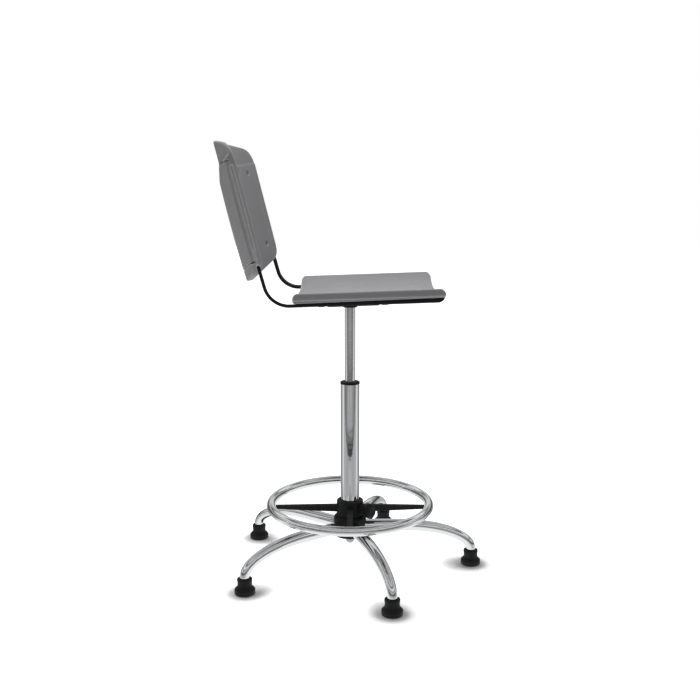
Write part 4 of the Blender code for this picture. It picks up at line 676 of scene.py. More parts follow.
def make_chrome_plated_tube(look):
    """Bright chrome over polished steel tube: a clear mirror with long shallow ripples from bending and
    polishing, which draw the reflections into streaks, and faint finger haze."""
    tree, shader = new_finish("chrome_plated_tube")
    point = surface_point(tree)
    ripples = noise(tree, point, 34.0, 1.5)
    haze = noise(tree, point, 60.0, 5.0)
    tone = blend_colours(tree, haze, shade_of(look.chrome, 0.95), shade_of(look.chrome, 1.0))
    feed(tree, shader, {
        "Base Color": tone,
        "Metallic": 1.0,
        "Roughness": between(tree, haze, 0.035, 0.12),
        "Normal": bump(tree, ripples, 0.30, 0.0012),
    })


def make_ground_hard_chrome(look):
    """Ground and hard-chromed gas cylinder: a grey satin mirror with the fine rings of the grinding wheel."""
    tree, shader = new_finish("ground_hard_chrome")
    point = surface_point(tree)
    # The grinding rings are 0.1 mm apart and are drawn 1 mm apart
    stretched = add_node(tree, "Mapping", {"Vector": point, "Scale": (0.04, 0.04, 1.0)}).outputs["Vector"]
    rings = noise(tree, stretched, 1.0, 2.0)
    haze = noise(tree, point, 45.0, 4.0)
    tone = blend_colours(tree, rings, shade_of(look.cylinder, 0.92), shade_of(look.cylinder, 1.06))
    feed(tree, shader, {
        "Base Color": tone,
        "Metallic": 1.0,
        "Roughness": between(tree, haze, 0.16, 0.26),
        "Normal": bump(tree, rings, 0.15, 0.0001),
    })


def make_zinc_plated_steel(look):
    """Bright zinc on pressed and turned steel: a soft grey metal with a faint spangle and duller patches."""
    tree, shader = new_finish("zinc_plated_steel")
    point = surface_point(tree)
    spangle = add_node(tree, "TexVoronoi", {"Vector": point, "Scale": per_metre(2.5)}).outputs["Color"]
    patches = noise(tree, point, 9.0, 4.0)
    tone = blend_colours(tree, 0.06, shade_of(look.zinc, 1.0), spangle)
    feed(tree, shader, {
        "Base Color": tone,
        "Metallic": 1.0,
        "Roughness": between(tree, patches, 0.26, 0.42),
        "Normal": bump(tree, patches, 0.12, 0.0002),
    })


def make_moulded_rubber(look):
    """Moulded black rubber: matt, with a grey bloom in patches."""
    tree, shader = new_finish("moulded_rubber")
    point = surface_point(tree)
    bloom = noise(tree, point, 8.0, 4.0)
    tone = blend_colours(tree, bloom, shade_of(look.rubber, 1.0), shade_of(look.rubber, 2.2))
    feed(tree, shader, {
        "Base Color": tone,
        "Roughness": between(tree, bloom, 0.7, 0.9),
        "Normal": bump(tree, bloom, 0.2, 0.0002),
    })


class STOOL_OT_finishes(bpy.types.Operator):
    """Mixes the plastics, coatings and platings"""

    bl_idname = "stool.finishes"
    bl_label = "Finishes"

    def execute(self, context):
        look = settings("finish")
        for make in (make_moulded_polypropylene, make_powder_coated_steel, make_glass_filled_nylon,
                     make_chrome_plated_tube, make_ground_hard_chrome, make_zinc_plated_steel,
                     make_moulded_rubber):
            make(look)
        return {"FINISHED"}


# Base


def leg_sections(grow=0.0, sides=48, bend_steps=44):
    """Oval sections square to a leg's path: straight from the hub, a quarter ellipse down, a rounded end."""
    size = settings("base")
    level = GLIDE_TOP + FIT + size.leg_rise
    reach = FOOT_CIRCLE_R - size.leg_straight
    low = size.foot_round
    path = [Vector((x, level)) for x in steps_between(size.leg_root, size.leg_straight, 4)[:-1]]
    for angle in steps_between(math.pi / 2, 0.0, bend_steps):
        path.append(Vector((size.leg_straight + reach * math.cos(angle),
                            level - (size.leg_rise - low) * (1 - math.sin(angle)))))
    growth = [grow] * len(path)
    for i in range(1, 6):
        angle = math.pi / 2 * i / 5
        path.append(Vector((FOOT_CIRCLE_R, path[-i][1] - low * math.sin(angle))))
        growth.append(grow - low * (1 - math.cos(angle)) * 0.75)
    path[0].x -= grow
    sections = []
    for i, (point, bigger) in enumerate(zip(path, growth)):
        along = Vector((0.0, -1.0))
        if i < len(path) - 6:
            along = (path[i + 1] - path[max(i - 1, 0)]).normalized()
        up = Vector((-along.y, along.x))
        ahead = min(1.0, max(0.0, (point.x - size.leg_straight) / reach))
        width = size.leg_width + (size.foot_width - size.leg_width) * ahead + 2 * bigger
        height = size.leg_height + (size.foot_width - size.leg_height) * ahead + 2 * bigger
        section = []
        for k in range(sides):
            angle = 2 * math.pi * k / sides
            rise = height / 2 * math.sin(angle)
            section.append((point.x + up.x * rise, width / 2 * math.cos(angle), point.y + up.y * rise))
        sections.append(section)
    return sections


def leg_frame(k):
    return Matrix.Rotation(math.radians(-90) + 2 * math.pi * k / settings("base").legs, 4, "Z")


def foot_frame(k):
    return leg_frame(k) @ Matrix.Translation((FOOT_CIRCLE_R, 0, 0))


class STOOL_OT_legs(bpy.types.Operator):
    """Bends the chrome legs down to the glides"""

    bl_idname = "stool.legs"
    bl_label = "Legs"

    def execute(self, context):
        size = settings("base")
        low = GLIDE_TOP - size.stem_in_glide
        high = GLIDE_TOP + size.stem_in_leg
        drill = [(0.0, low), (size.stem_bore_r, low), (size.stem_bore_r, high), (0.0, high)]
        for k in range(size.legs):
            bore = turned("stem_bore", drill, 24, False, foot_frame(k))
            mesh = carved(lofted("bent_leg", leg_sections(), leg_frame(k)), [bore])
            place_piece(f"bent_leg_{k + 1}", mesh, "chrome_plated_tube", "base", [f"leg_{k + 1}"])
        return {"FINISHED"}


class STOOL_OT_base_hub(bpy.types.Operator):
    """Turns the base hub and cuts the legs' sockets into it"""

    bl_idname = "stool.base_hub"
    bl_label = "Base hub"

    def execute(self, context):
        size = settings("base")
        bore = settings("lift").column_r + FIT
        shoulder = HUB_TOP - size.hub_shoulder
        profile = [(bore, HUB_TOP)]
        for i in range(9):
            angle = math.pi / 2 * i / 8
            profile.append((size.hub_top_r + (size.hub_r - size.hub_top_r) * math.sin(angle),
                            shoulder + size.hub_shoulder * math.cos(angle)))
        profile += fillet(profile[-1], (size.hub_r, HUB_BOTTOM), (bore, HUB_BOTTOM), size.hub_round, 6)
        profile.append((bore, HUB_BOTTOM))
        root = leg_sections(FIT, bend_steps=2)
        sockets = [lofted("leg_socket", root, leg_frame(k)) for k in range(size.legs)]
        mesh = carved(turned("turned_hub", profile), sockets)
        place_piece("turned_hub", mesh, "powder_coated_steel", "base", ["base_hub"])
        return {"FINISHED"}


class STOOL_OT_glides(bpy.types.Operator):
    """Turns the glides under the legs"""

    bl_idname = "stool.glides"
    bl_label = "Glides"

    def execute(self, context):
        size = settings("base")
        neck = size.glide_neck_r
        waist = neck - size.glide_waist
        flange = size.glide_flange_height
        outer = size.glide_flange_r
        groove = size.glide_groove_z
        bore_floor = GLIDE_TOP - size.stem_in_glide
        profile = softened([
            (size.stem_bore_r, GLIDE_TOP),
            (neck, GLIDE_TOP, 0.0022),
            (neck, GLIDE_TOP - size.glide_head, 0.0025),
            (waist, GLIDE_TOP - size.glide_head - 0.003, 0.004),
            (waist, flange + 0.0045, 0.0025),
            (neck + 0.0016, flange + 0.0018, 0.0020),
            (outer, flange - 0.0042, 0.0048),
            (outer, groove + size.glide_groove, 0.0008),
            (outer - 0.0007, groove, 0.0004),
            (outer, groove - size.glide_groove, 0.0008),
            (outer, 0.0, 0.0030),
            (0.0, 0.0),
            (0.0, bore_floor),
            (size.stem_bore_r, bore_floor),
        ])
        for k in range(size.legs):
            mesh = turned("turned_glide", profile, 72, matrix=foot_frame(k))
            place_piece(f"turned_glide_{k + 1}", mesh, "glass_filled_nylon", "base", [f"glide_{k + 1}"])
        return {"FINISHED"}


# Column and gas lift


class STOOL_OT_column(bpy.types.Operator):
    """Draws the column tube and moulds the guide in its mouth"""

    bl_idname = "stool.column"
    bl_label = "Column"

    def execute(self, context):
        size = settings("lift")
        inner = size.column_r - size.column_wall
        tube = softened([
            (size.column_r, COLUMN_TOP, size.edge),
            (size.column_r, COLUMN_BOTTOM, 0.0015),
            (size.rod_r + ROD_GAP, COLUMN_BOTTOM),
            (size.rod_r + ROD_GAP, COLUMN_BOTTOM + size.column_floor),
            (inner, COLUMN_BOTTOM + size.column_floor),
            (inner, COLUMN_TOP, size.edge),
        ])
        place_piece("drawn_column", turned("drawn_column", tube, 128), "chrome_plated_tube", "base",
                    ["column_tube"])
        bore = size.cylinder_r + FIT
        cap = COLUMN_TOP + FIT
        guide = softened([
            (bore, cap + size.guide_cap, 0.0008),
            (size.guide_r, cap + size.guide_cap, 0.0022),
            (size.guide_r, cap, size.edge),
            (inner - FIT, cap),
            (inner - FIT, COLUMN_TOP - size.guide_depth),
            (bore, COLUMN_TOP - size.guide_depth),
        ])
        place_piece("moulded_guide", turned("moulded_guide", guide, 128), "glass_filled_nylon", "base",
                    ["guide_collar"])
        return {"FINISHED"}


class STOOL_OT_gas_lift(bpy.types.Operator):
    """Grinds the gas cylinder and turns the collar under the hub"""

    bl_idname = "stool.gas_lift"
    bl_label = "Gas lift"

    def execute(self, context):
        size = settings("lift")
        bore = size.rod_r + FIT
        chamber_low = CYLINDER_BOTTOM + size.chamber_floor
        chamber_high = CYLINDER_TOP - TAPER_LENGTH - size.chamber_roof
        sink = CYLINDER_TOP - size.button_depth
        profile = softened([
            (0.0, sink),
            (size.button_r, sink),
            (size.button_r, CYLINDER_TOP),
            (size.cylinder_r - size.taper_drop, CYLINDER_TOP, 0.0008),
            (size.cylinder_r, CYLINDER_TOP - TAPER_LENGTH),
            (size.cylinder_r, CYLINDER_BOTTOM, 0.001),
            (bore, CYLINDER_BOTTOM),
            (bore, chamber_low),
            (size.chamber_r, chamber_low),
            (size.chamber_r, chamber_high),
            (0.0, chamber_high),
        ], closed=False)
        place_piece("ground_cylinder", turned("ground_cylinder", profile, 96, False), "ground_hard_chrome",
                    "seat", ["gas_cylinder"])
        top = high_of("rod_collar").z
        bottom = low_of("rod_collar").z
        groove = (top + bottom) / 2
        depth = size.collar_groove
        collar = softened([
            (bore, top),
            (size.collar_r, top, 0.0008),
            (size.collar_r, groove + 1.5 * depth, 0.0003),
            (size.collar_r - depth, groove + depth, 0.0003),
            (size.collar_r - depth, groove - depth, 0.0003),
            (size.collar_r, groove - 1.5 * depth, 0.0003),
            (size.collar_r, bottom, 0.0020),
            (bore, bottom),
        ])
        place_piece("turned_collar", turned("turned_collar", collar, 64), "zinc_plated_steel", "spindle",
                    ["rod_collar"])
        return {"FINISHED"}


# Foot ring


def ring_mesh(name, tube_r, around=176, about=40):
    size = settings("ring")
    profile = arc((size.ring_r, RING_Z), tube_r, 0, 360 - 360 / about, about - 1)
    return turned(name, profile, around)


def soft_rectangle(width, height, rounding, steps=4):
    """Rounded rectangle round the origin as (across, rise)."""
    x = width / 2
    z = height / 2
    return softened([(x, -z, rounding), (x, z, rounding), (-x, z, rounding), (-x, -z, rounding)], steps=steps)


def spoke_meshes(k):
    """A moulded spoke of T section: flat top flange and the web under it."""
    size = settings("ring")
    turn = Matrix.Rotation(2 * math.pi * k / size.spokes, 4, "Z")
    under = size.spoke_flange / 2
    ends = (
        (size.hub_r - size.spoke_root, size.spoke_width, size.spoke_top, size.spoke_bottom),
        (size.ring_r, size.spoke_tip_width, size.spoke_tip_top, size.spoke_tip_bottom),
    )
    flange = []
    web = []
    for x, width, top, bottom in ends:
        high = RING_HUB_BOTTOM + top - under
        low = RING_HUB_BOTTOM + bottom
        flange.append([(x, y, high + z) for y, z in soft_rectangle(width, size.spoke_flange, 0.0011)])
        rib = soft_rectangle(size.spoke_web, high - low, 0.0012)
        web.append([(x, y, (high + low) / 2 + z) for y, z in rib])
    return [lofted("spoke_flange", flange, turn), lofted("spoke_web", web, turn)]


def clamp_frame():
    """Frame of the clamp screw: local Z runs out from the column's axis."""
    size = settings("ring")
    turn = Matrix.Rotation(size.knob_angle, 4, "Z") @ Matrix.Rotation(math.pi / 2, 4, "Y")
    return Matrix.Translation((0, 0, RING_HUB_BOTTOM + size.knob_z)) @ turn


class STOOL_OT_foot_ring(bpy.types.Operator):
    """Bends the foot ring and moulds its hub with the spokes and the clamp's boss"""

    bl_idname = "stool.foot_ring"
    bl_label = "Foot ring"

    def execute(self, context):
        size = settings("ring")
        mesh = ring_mesh("bent_ring", size.tube_r)
        ring = place_piece("bent_ring", mesh, "chrome_plated_tube", "foot_ring", ["foot_ring"])
        # The photograph's column doesn't mirror the ring
        ring.visible_glossy = False
        profile = softened([
            (size.bore_r, RING_HUB_TOP, 0.0006),
            (size.hub_r, RING_HUB_TOP, size.hub_round),
            (size.hub_r, RING_HUB_BOTTOM + size.hub_flare_height),
            (size.hub_r + size.hub_flare, RING_HUB_BOTTOM, 0.0008),
            (size.bore_r, RING_HUB_BOTTOM),
        ])
        spokes = [mesh for k in range(size.spokes) for mesh in spoke_meshes(k)]
        end = size.hub_r + size.boss_reach
        start = size.bore_r + size.boss_root
        post = [(0.0, start), (size.boss_r, start), (size.boss_r, end, 0.0012), (0.0, end)]
        boss = turned("clamp_boss", softened(post, closed=False), 48, False, clamp_frame())
        mesh = carved(turned("moulded_ring_hub", profile), [*spokes, boss], "UNION")
        bore = size.stud_r + FIT
        drill = [(0.0, 0.0), (bore, 0.0), (bore, 2 * end), (0.0, 2 * end)]
        hole = turned("clamp_hole", drill, 24, False, clamp_frame())
        mesh = carved(mesh, [ring_mesh("ring_saddle", size.tube_r + FIT, 88, 20), hole])
        place_piece("moulded_ring_hub", mesh, "glass_filled_nylon", "foot_ring", ["ring_hub"])
        return {"FINISHED"}


class STOOL_OT_knob(bpy.types.Operator):
    """Moulds the lobed clamp knob on its screw"""

    bl_idname = "stool.knob"
    bl_label = "Clamp knob"

    def execute(self, context):
        size = settings("ring")
        inner = size.hub_r + size.boss_reach + FIT
        outer = inner + size.knob_length
        grip = inner + size.knob_length * 0.40
        # Shares of the knob's radius: neck, shoulder, grip and the hollow in its face
        profile = softened([
            (size.stud_r, size.bore_r + size.stud_end),
            (size.stud_r, inner),
            (size.knob_r * 0.62, inner, 0.0008),
            (size.knob_r * 0.70, grip - 0.0022, 0.0015),
            (size.knob_r, grip, 0.0016),
            (size.knob_r, outer - 0.0030, 0.0026),
            (size.knob_r * 0.80, outer, 0.0026),
            (size.knob_r * 0.45, outer, 0.0010),
            (size.knob_r * 0.38, outer - 0.0008),
        ], closed=False)
        turns = steps_between(0.0, 2 * math.pi, 144)[:-1]
        rings = []
        for radius, height in profile:
            # The hollows run out between 0.95 and 0.7 of the knob's radius
            depth = size.knob_lobe * ramp(radius / size.knob_r, 0.7, 0.95)
            lobed = [(radius - depth * (1 - math.cos(size.knob_lobes * angle)) / 2, angle) for angle in turns]
            rings.append([(r * math.cos(angle), r * math.sin(angle), height) for r, angle in lobed])
        mesh = lofted("lobed_knob", rings, clamp_frame())
        place_piece("lobed_knob", mesh, "glass_filled_nylon", "clamp_knob", ["clamp_knob"])
        return {"FINISHED"}


# Side bars


def seat_frame():
    return Matrix.Translation((0, 0, SEAT_Z)) @ Matrix.Rotation(-settings("seat").tilt, 4, "X")


def back_frame():
    size = settings("back")
    return Matrix.Translation((0, size.y, SEAT_Z + size.z)) @ Matrix.Rotation(-size.recline, 4, "X")


def bar_path(spare=0.0):
    """Centre line of a side bar as (y, z), from its front end under the seat to its top inside the backrest,
    and the share of the bar's section that it has at each point."""
    size = settings("bars")
    seat = seat_frame()
    back = back_frame()
    front, corner = ((seat @ Vector((0, y, 0))).yz for y in (-size.front - spare, size.corner))
    entry, top = ((back @ Vector((0, size.depth, z))).yz for z in (-size.entry, size.top + spare))
    along = (corner - front).normalized()
    turns = [math.radians(turn) for turn in steps_between(15, 90, 6)]
    path = [front + along * size.thickness * (1 - math.cos(angle)) for angle in turns]
    shares = [math.sin(angle) for angle in turns]
    path += [Vector(point) for point in fillet(front, corner, entry, size.bend_r, 36)]
    path += [entry, (entry + top) / 2, top]
    return path, shares + [1.0] * (len(path) - len(shares))


def bar_mesh(name, side, grow=0.0):
    size = settings("bars")
    half = size.thickness / 2
    flat = size.width / 2 - half
    oval = arc((flat, 0.0), half, -90, 90, 10) + arc((-flat, 0.0), half, 90, 270, 10)
    oval = [(across * (1 + grow / (size.width / 2)), rise * (1 + grow / half)) for across, rise in oval]
    canted = [Matrix.Rotation(size.cant, 2) @ Vector(point) for point in oval]
    path, shares = bar_path(grow)
    sections = []
    for i, (point, part) in enumerate(zip(path, shares)):
        along = (path[min(i + 1, len(path) - 1)] - path[max(i - 1, 0)]).normalized()
        inside = Vector((-along.y, along.x)) * part
        sections.append([(side * (size.x + out * part), *(point + inside * lean)) for out, lean in canted])
    return lofted(name, sections)


def gap_shade_strip_mesh(side):
    """Black strip on a bar's top, in the seat's frame, that fills the gap under the edge of the seat's side:
    painted shade, a dark piece put where that gap lies in shade.
    """
    seat = settings("seat")
    bar = settings("bars")
    nose = seat.nose_r
    rear = seat.rear - nose
    front = nose / 3 - seat.front
    slope = seat.band_rise / (seat.rear + seat.front)
    low = seat_band_bottom() - FIT
    high = low + slope * (seat.rear - front)
    outline = [(rear, 0.0), (rear, low + slope * nose), (front, high), (front, 0.0)]
    middle = bar.x + bar.width / 2 - bar.gap_shade_strip_inset
    faces = (middle - bar.rail / 2, middle + bar.rail / 2)
    return lofted("seat_rail", [[(side * x, y, z) for y, z in outline] for x in faces])


class STOOL_OT_side_bars(bpy.types.Operator):
    """Bends the two black side bars and welds on dark strips under the seat's sides, which stand in as
    painted shade for the shaded gaps there
    """

    bl_idname = "stool.side_bars"
    bl_label = "Side bars"

    def execute(self, context):
        bar = settings("bars")
        front = -bar.front - bar.thickness / 2
        under = -bar.thickness / 2 - bar.width / 2 * math.sin(bar.cant)
        for word, side in (("left", 1), ("right", -1)):
            # Each bar gets its dark strip of painted shade under the seat's side
            rail = gap_shade_strip_mesh(side)
            tip = corner_mesh(front, under, bar.tip_reach, bar.tip_rise, 0.0, side * 2 * bar.x)
            for mesh in (rail, tip):
                mesh.transform(seat_frame())
            mesh = carved(carved(bar_mesh("bent_bar", side), [rail], "UNION"), [tip])
            place_piece(f"bent_bar_{word}", mesh, "powder_coated_steel", "seat", [f"side_bar_{word}"])
        return {"FINISHED"}


# Seat


def seat_band_bottom():
    """Height at which the seat's sides end, just over the side bars."""
    bar = settings("bars")
    return bar.thickness / 2 + bar.width / 2 * math.sin(bar.cant) + FIT


def seat_section():
    """The seat's section as (x, z): pan, rising sides, rolled rims, stepped outer lips and underside."""
    size = settings("seat")
    rim_inner = size.half_width - size.rim_width
    run = rim_inner - size.flat_half
    rise = size.rim_height - 0.001 - size.pan_top
    radius = (run**2 + rise**2) / (2 * rise)
    sweep = math.degrees(math.asin(run / radius))
    centre = (size.flat_half, size.pan_top + radius)
    top = arc(centre, radius, -90, -90 + sweep, 28)
    under = arc(centre, radius + size.wall, -90 + sweep * 0.94, -90, 24)
    lip_bottom = size.rim_height - size.lip_height
    inset = size.half_width - size.lip_step
    wall = size.wall * 0.8
    rim = softened([
        top[-1],
        (rim_inner + 0.0012, size.rim_height, 0.0018),
        (size.half_width, size.rim_height, size.rim_round),
        (size.half_width, lip_bottom, 0.0015),
        (inset, lip_bottom - size.lip_step, 0.0008),
        (inset, seat_band_bottom(), 0.0009),
        (inset - wall, seat_band_bottom(), 0.0009),
        under[0],
    ], closed=False)
    right = [*top, *rim[1:-1], *under]
    return right + [(-x, z) for x, z in reversed(right)]


def seat_side_outline():
    """Side view of the seat's ends as (y, z): rounded upper corners, straight below."""
    size = settings("seat")
    top = size.rim_height
    low = -size.rim_height
    front = -size.front
    outline = [(front, low)]
    outline += arc((front + size.front_corner_r, top - size.front_corner_r), size.front_corner_r, 180, 90, 18)
    outline += arc((size.rear - size.rear_corner_r, top - size.rear_corner_r), size.rear_corner_r, 90, 0, 16)
    outline.append((size.rear, low))
    return outline


def corner_mesh(corner_y, corner_z, reach, height, inner_x, outer_x):
    """Cutter that rounds a lower corner, seen from the side: a block with a quarter oval hollowed out."""
    spare = math.copysign(0.01, reach)
    outline = [(corner_y - spare, corner_z - height), (corner_y + reach, corner_z - height)]
    outline += [(corner_y + reach * (1 - math.sin(a)), corner_z + height * (1 - math.cos(a)))
                for a in steps_between(0.0, math.pi / 2, 12)]
    outline.append((corner_y - spare, corner_z + height))
    return lofted("corner", [[(x, y, z) for y, z in outline] for x in (inner_x, outer_x)])


def seat_drop(x, y):
    """How far the pan's front edge has rolled down at a place."""
    size = settings("seat")
    bar = settings("bars")
    ahead = max(0.0, (size.waterfall_length - size.front - y) / size.waterfall_length)
    inboard = 1 - ramp(abs(x), size.flat_half, bar.x - bar.width / 2)
    return size.waterfall * ahead**2 * inboard


def seat_mesh():
    size = settings("seat")
    section = seat_section()
    start = size.waterfall_length - size.front
    places = [size.rear * 2, size.rear - 0.02, 0.05, -0.06]
    places += steps_between(start, -size.front, 14)
    places.append(-size.front * 1.2)
    sections = []
    for y in places:
        ring = []
        for x, z in section:
            lower_edge = abs(x) > settings("bars").x and z < seat_band_bottom() + 0.001
            climb = (size.rear - y) / (size.rear + size.front) if lower_edge else 0.0
            ring.append((x, y, z - seat_drop(x, y) + size.band_rise * climb))
        sections.append(ring)
    shell = lofted("moulded_seat", sections)
    outline = seat_side_outline()
    wide = 1.5 * size.half_width
    ends = lofted("seat_ends", [[(x, y, z) for y, z in outline] for x in (-wide, wide)])
    shell = carved(shell, [ends], "INTERSECT")
    low = seat_band_bottom()
    inner = size.half_width - size.rim_width
    nose = size.nose_r
    corners = []
    for side in (-1, 1):
        corners.append(corner_mesh(-size.front, low + size.band_rise, nose, nose, side * inner, side * wide))
        corners.append(corner_mesh(size.rear, low, -nose, nose, side * inner, side * wide))
    return carved(shell, corners)


class STOOL_OT_seat(bpy.types.Operator):
    """Moulds the seat shell"""

    bl_idname = "stool.seat"
    bl_label = "Seat shell"

    def execute(self, context):
        size = settings("seat")
        mesh = seat_mesh()
        low = size.pan_top - size.wall - size.boss_drop
        high = size.pan_top - size.wall / 2
        profile = [(0.0, low), (size.boss_r, low, 0.0008), (size.boss_r, high), (0.0, high)]
        profile = softened(profile, closed=False)
        bosses = []
        for x in (-size.boss_x, size.boss_x):
            for y in (-size.boss_front, size.boss_rear):
                bosses.append(turned("seat_boss", profile, 40, False, Matrix.Translation((x, y, 0))))
        mesh = carved(mesh, bosses, "UNION")
        mesh.transform(seat_frame())
        seat = place_piece("moulded_seat", mesh, "moulded_polypropylene", "seat", ["seat_shell"])
        soften_edges(seat, size.edge_round, 55.0)
        return {"FINISHED"}


# Backrest, drawn in its reclined frame: x across, y to the rear, z up along the back

# Edges of the backrest that turn by more than this many degrees stay sharp
BACK_SHARP = 28.0
# The screws on one side as (x, z)
SCREW_PLACES = ((0.180, 0.109), (0.120, 0.112), (0.185, -0.088))


def hollow_depth(x, middle, radius):
    """Depth of an arc that is deepest in the middle."""
    return middle - radius + math.sqrt(radius**2 - x**2)


def shell_front(x, z):
    """Front face: one hollow arc, set back above the crease."""
    size = settings("back")
    half = size.crease_height / 2
    step = size.crease_depth * eased(ramp(z, size.crease_z - half, size.crease_z + half))
    return hollow_depth(x, size.hollow, size.hollow_r) + step


def inside_rim():
    """Middle line to where the cover's side wall stands."""
    size = settings("back")
    return size.half_width - size.rim_wall - size.cover_top_r


def near_side(x, width):
    """Rises from 0 to 1 at the cover's side wall, over a width at the back's edge."""
    return eased(ramp(abs(x), settings("back").half_width - width, inside_rim()))


def cover_rear(x, z):
    """Rear face of the cover: a flatter arc, chamfered at the top, most of all in the middle."""
    size = settings("back")
    chamfer = size.chamfer_depth * ramp(z, size.crease_z - size.chamfer_height, size.crease_z)
    fall = size.cover_fall * (z / size.cover_reach) ** 2
    depth = hollow_depth(x, size.cover_depth, size.cover_r)
    return depth - fall - chamfer * (1 - near_side(x, size.chamfer_side))


def shell_rear(x, z):
    """Rear of the shell: flush with the cover as far up as it goes, then the shoulder and the panel."""
    size = settings("back")
    if z < size.crease_z + 1.5 * FIT:
        return cover_rear(x, z)
    panel = shell_front(x, z) + size.panel
    run_out = 1 - eased(ramp(z, size.crease_z + 2 * FIT, size.crease_z + size.shoulder))
    proud = max(0.0, cover_rear(x, size.crease_z) - panel)
    return panel + proud * run_out * near_side(x, size.shoulder_side)


def cover_front(x, z):
    """Front edge of the cover: on the shell's rim, and on its wall where the cover runs out at the top."""
    size = settings("back")
    high = size.crease_z - size.crease_height
    on_rim = max(1 - ramp(z, size.crease_z - size.chamfer_height, high), near_side(x, size.shoulder_side))
    return shell_front(x, z) + FIT + size.wall + (size.rim_depth - size.wall) * on_rim


def back_columns(count=28):
    half = settings("back").half_width
    return [half * i / count for i in range(-count + 1, count)]


def panel_outline(half, low, low_arch, low_r, high, high_arch, high_r, steps=14):
    """Closed front view as (x, z): arched lower and upper edges and round corners."""
    columns = [x for x in back_columns() if -0.001 < x < half - max(low_r, high_r) * 1.05]
    lower = [(x, low + low_arch * (x / half) ** 2) for x in columns]
    upper = [(x, high - high_arch * (x / half) ** 2) for x in columns]
    low_corner = (half, low + low_arch)
    high_corner = (half, high - high_arch)
    right = lower + fillet(lower[-1], low_corner, high_corner, low_r, steps)
    right += fillet(low_corner, high_corner, upper[-1], high_r, steps)
    right += upper[::-1]
    return right + [(-x, z) for x, z in reversed(right) if abs(x) > FIT]


def slab_mesh(name, outline, rows, front, rear, front_round=0.0, rear_round=0.0):
    """A plate whose edges are rounded while it is flat, then bent to the depths of both its faces."""
    half = settings("back").panel / 2
    work = bmesh.new()
    work.from_mesh(lofted(name, [[(x, y, z) for x, z in outline] for y in (-half, half)]))
    for side, rounding in ((-1, front_round), (1, rear_round)):
        if rounding:
            face = side * half
            rims = [edge for edge in work.edges if all(abs(v.co.y - face) < FIT for v in edge.verts)]
            bmesh.ops.bevel(work, geom=rims, offset=rounding, segments=5, profile=0.5, affect="EDGES")
    planes = [((place, 0, 0), (1, 0, 0)) for place in (*back_columns(), -inside_rim(), inside_rim())]
    planes += [((0, 0, place), (0, 0, 1)) for place in rows]
    for place, direction in planes:
        geometry = work.verts[:] + work.edges[:] + work.faces[:]
        bmesh.ops.bisect_plane(
            work, geom=geometry, dist=FIT / 2, use_snap_center=True, plane_co=place, plane_no=direction
        )
    for vert in work.verts:
        x, y, z = vert.co
        if y < 0:
            vert.co.y = front(x, z) + y + half
        else:
            vert.co.y = rear(x, z) + y - half
    return as_mesh(work, name, Matrix(), BACK_SHARP)


def shell_rows():
    """Heights at which the shell's faces are divided: close together over the crease and the shoulder."""
    size = settings("back")
    crease = size.crease_z
    half = size.crease_height / 2
    rows = steps_between(-0.10, crease - half, 7)[:-1]
    rows += steps_between(crease - half, crease, 5)
    rows += [crease + FIT, crease + 2 * FIT]
    rows += steps_between(crease + 2 * FIT, crease + half, 5)[1:]
    return rows + steps_between(crease + half, crease + size.shoulder, 6)[1:]


def cover_rows():
    """Heights at which the cover's faces are divided."""
    size = settings("back")
    low = size.crease_z - size.chamfer_height
    high = size.crease_z - size.crease_height
    return [*steps_between(-0.11, low, 16), *steps_between(low, high, 6)[1:],
            *steps_between(high, size.crease_z, 6)[1:-1]]


def back_slope(x):
    """Angle between the front face and the plane across the back."""
    return math.asin(x / settings("back").hollow_r)


def screw_places():
    return [(side * x, z) for x, z in SCREW_PLACES for side in (-1, 1)]


def screw_frame(x, z):
    """A screw's frame: on the front face, its local Z running forwards, square to the face."""
    turn = Matrix.Rotation(-back_slope(x), 4, "Z") @ Matrix.Rotation(math.pi / 2, 4, "X")
    return Matrix.Translation((x, shell_front(x, z), z)) @ turn


def recess_mesh(x, z):
    """Cutter for a screw's dish and round recess, and for the screw's hole below them."""
    size = settings("back")
    outside = size.recess_depth
    seat = -size.recess_depth
    head = size.screw_head_r + FIT
    under = seat - size.screw_head - FIT
    shank = size.screw_shank_r + FIT
    end = seat - size.screw_length - 2 * FIT
    profile = [
        (0.0, outside), (size.dish_r, outside), (size.dish_r, 0.0), (size.recess_r, -size.dish_depth),
        (size.recess_r, seat), (head, seat), (head, under), (shank, under), (shank, end), (0.0, end),
    ]
    return turned("screw_recess", profile, 48, False, screw_frame(x, z))


def groove_meshes():
    """Cutters for the side bars, in the backrest's frame."""
    grooves = [bar_mesh("bar_groove", side, FIT) for side in (-1, 1)]
    for groove in grooves:
        groove.transform(back_frame().inverted())
    return grooves


def channel_meshes():
    """Cutters for the shallow channel along the seam between the shell and the cover, one at each side."""
    size = settings("back")
    outer = size.half_width + size.rim_wall
    inner = size.half_width - size.channel_depth
    flat = size.channel / 2
    slope = 1.5 * (outer - inner)
    section = ((outer, -flat - slope), (outer, flat + slope), (inner, flat), (inner, -flat))
    low = size.apron + size.bottom_arch - size.bottom - size.channel_low
    rows = [(z, shell_front(size.half_width, z) + size.rim_depth)
            for z in steps_between(low, size.crease_z - size.channel_high, 12)]
    return [lofted("seam_channel", [[(side * x, seam + y, z) for x, y in section] for z, seam in rows])
            for side in (-1, 1)]


def back_pocket():
    """Cutter that hollows the shell out behind its front wall."""
    size = settings("back")
    outline = panel_outline(
        size.half_width - size.rim_wall, size.apron - size.bottom, size.cover_arch,
        size.bottom_corner_r - size.rim_wall, size.crease_z + FIT, 0.0, size.cover_top_r, 5,
    )
    return slab_mesh("back_pocket", outline, shell_rows()[:8], lambda x, z: shell_front(x, z) + size.wall,
                     lambda x, z: cover_rear(x, z) + size.panel)


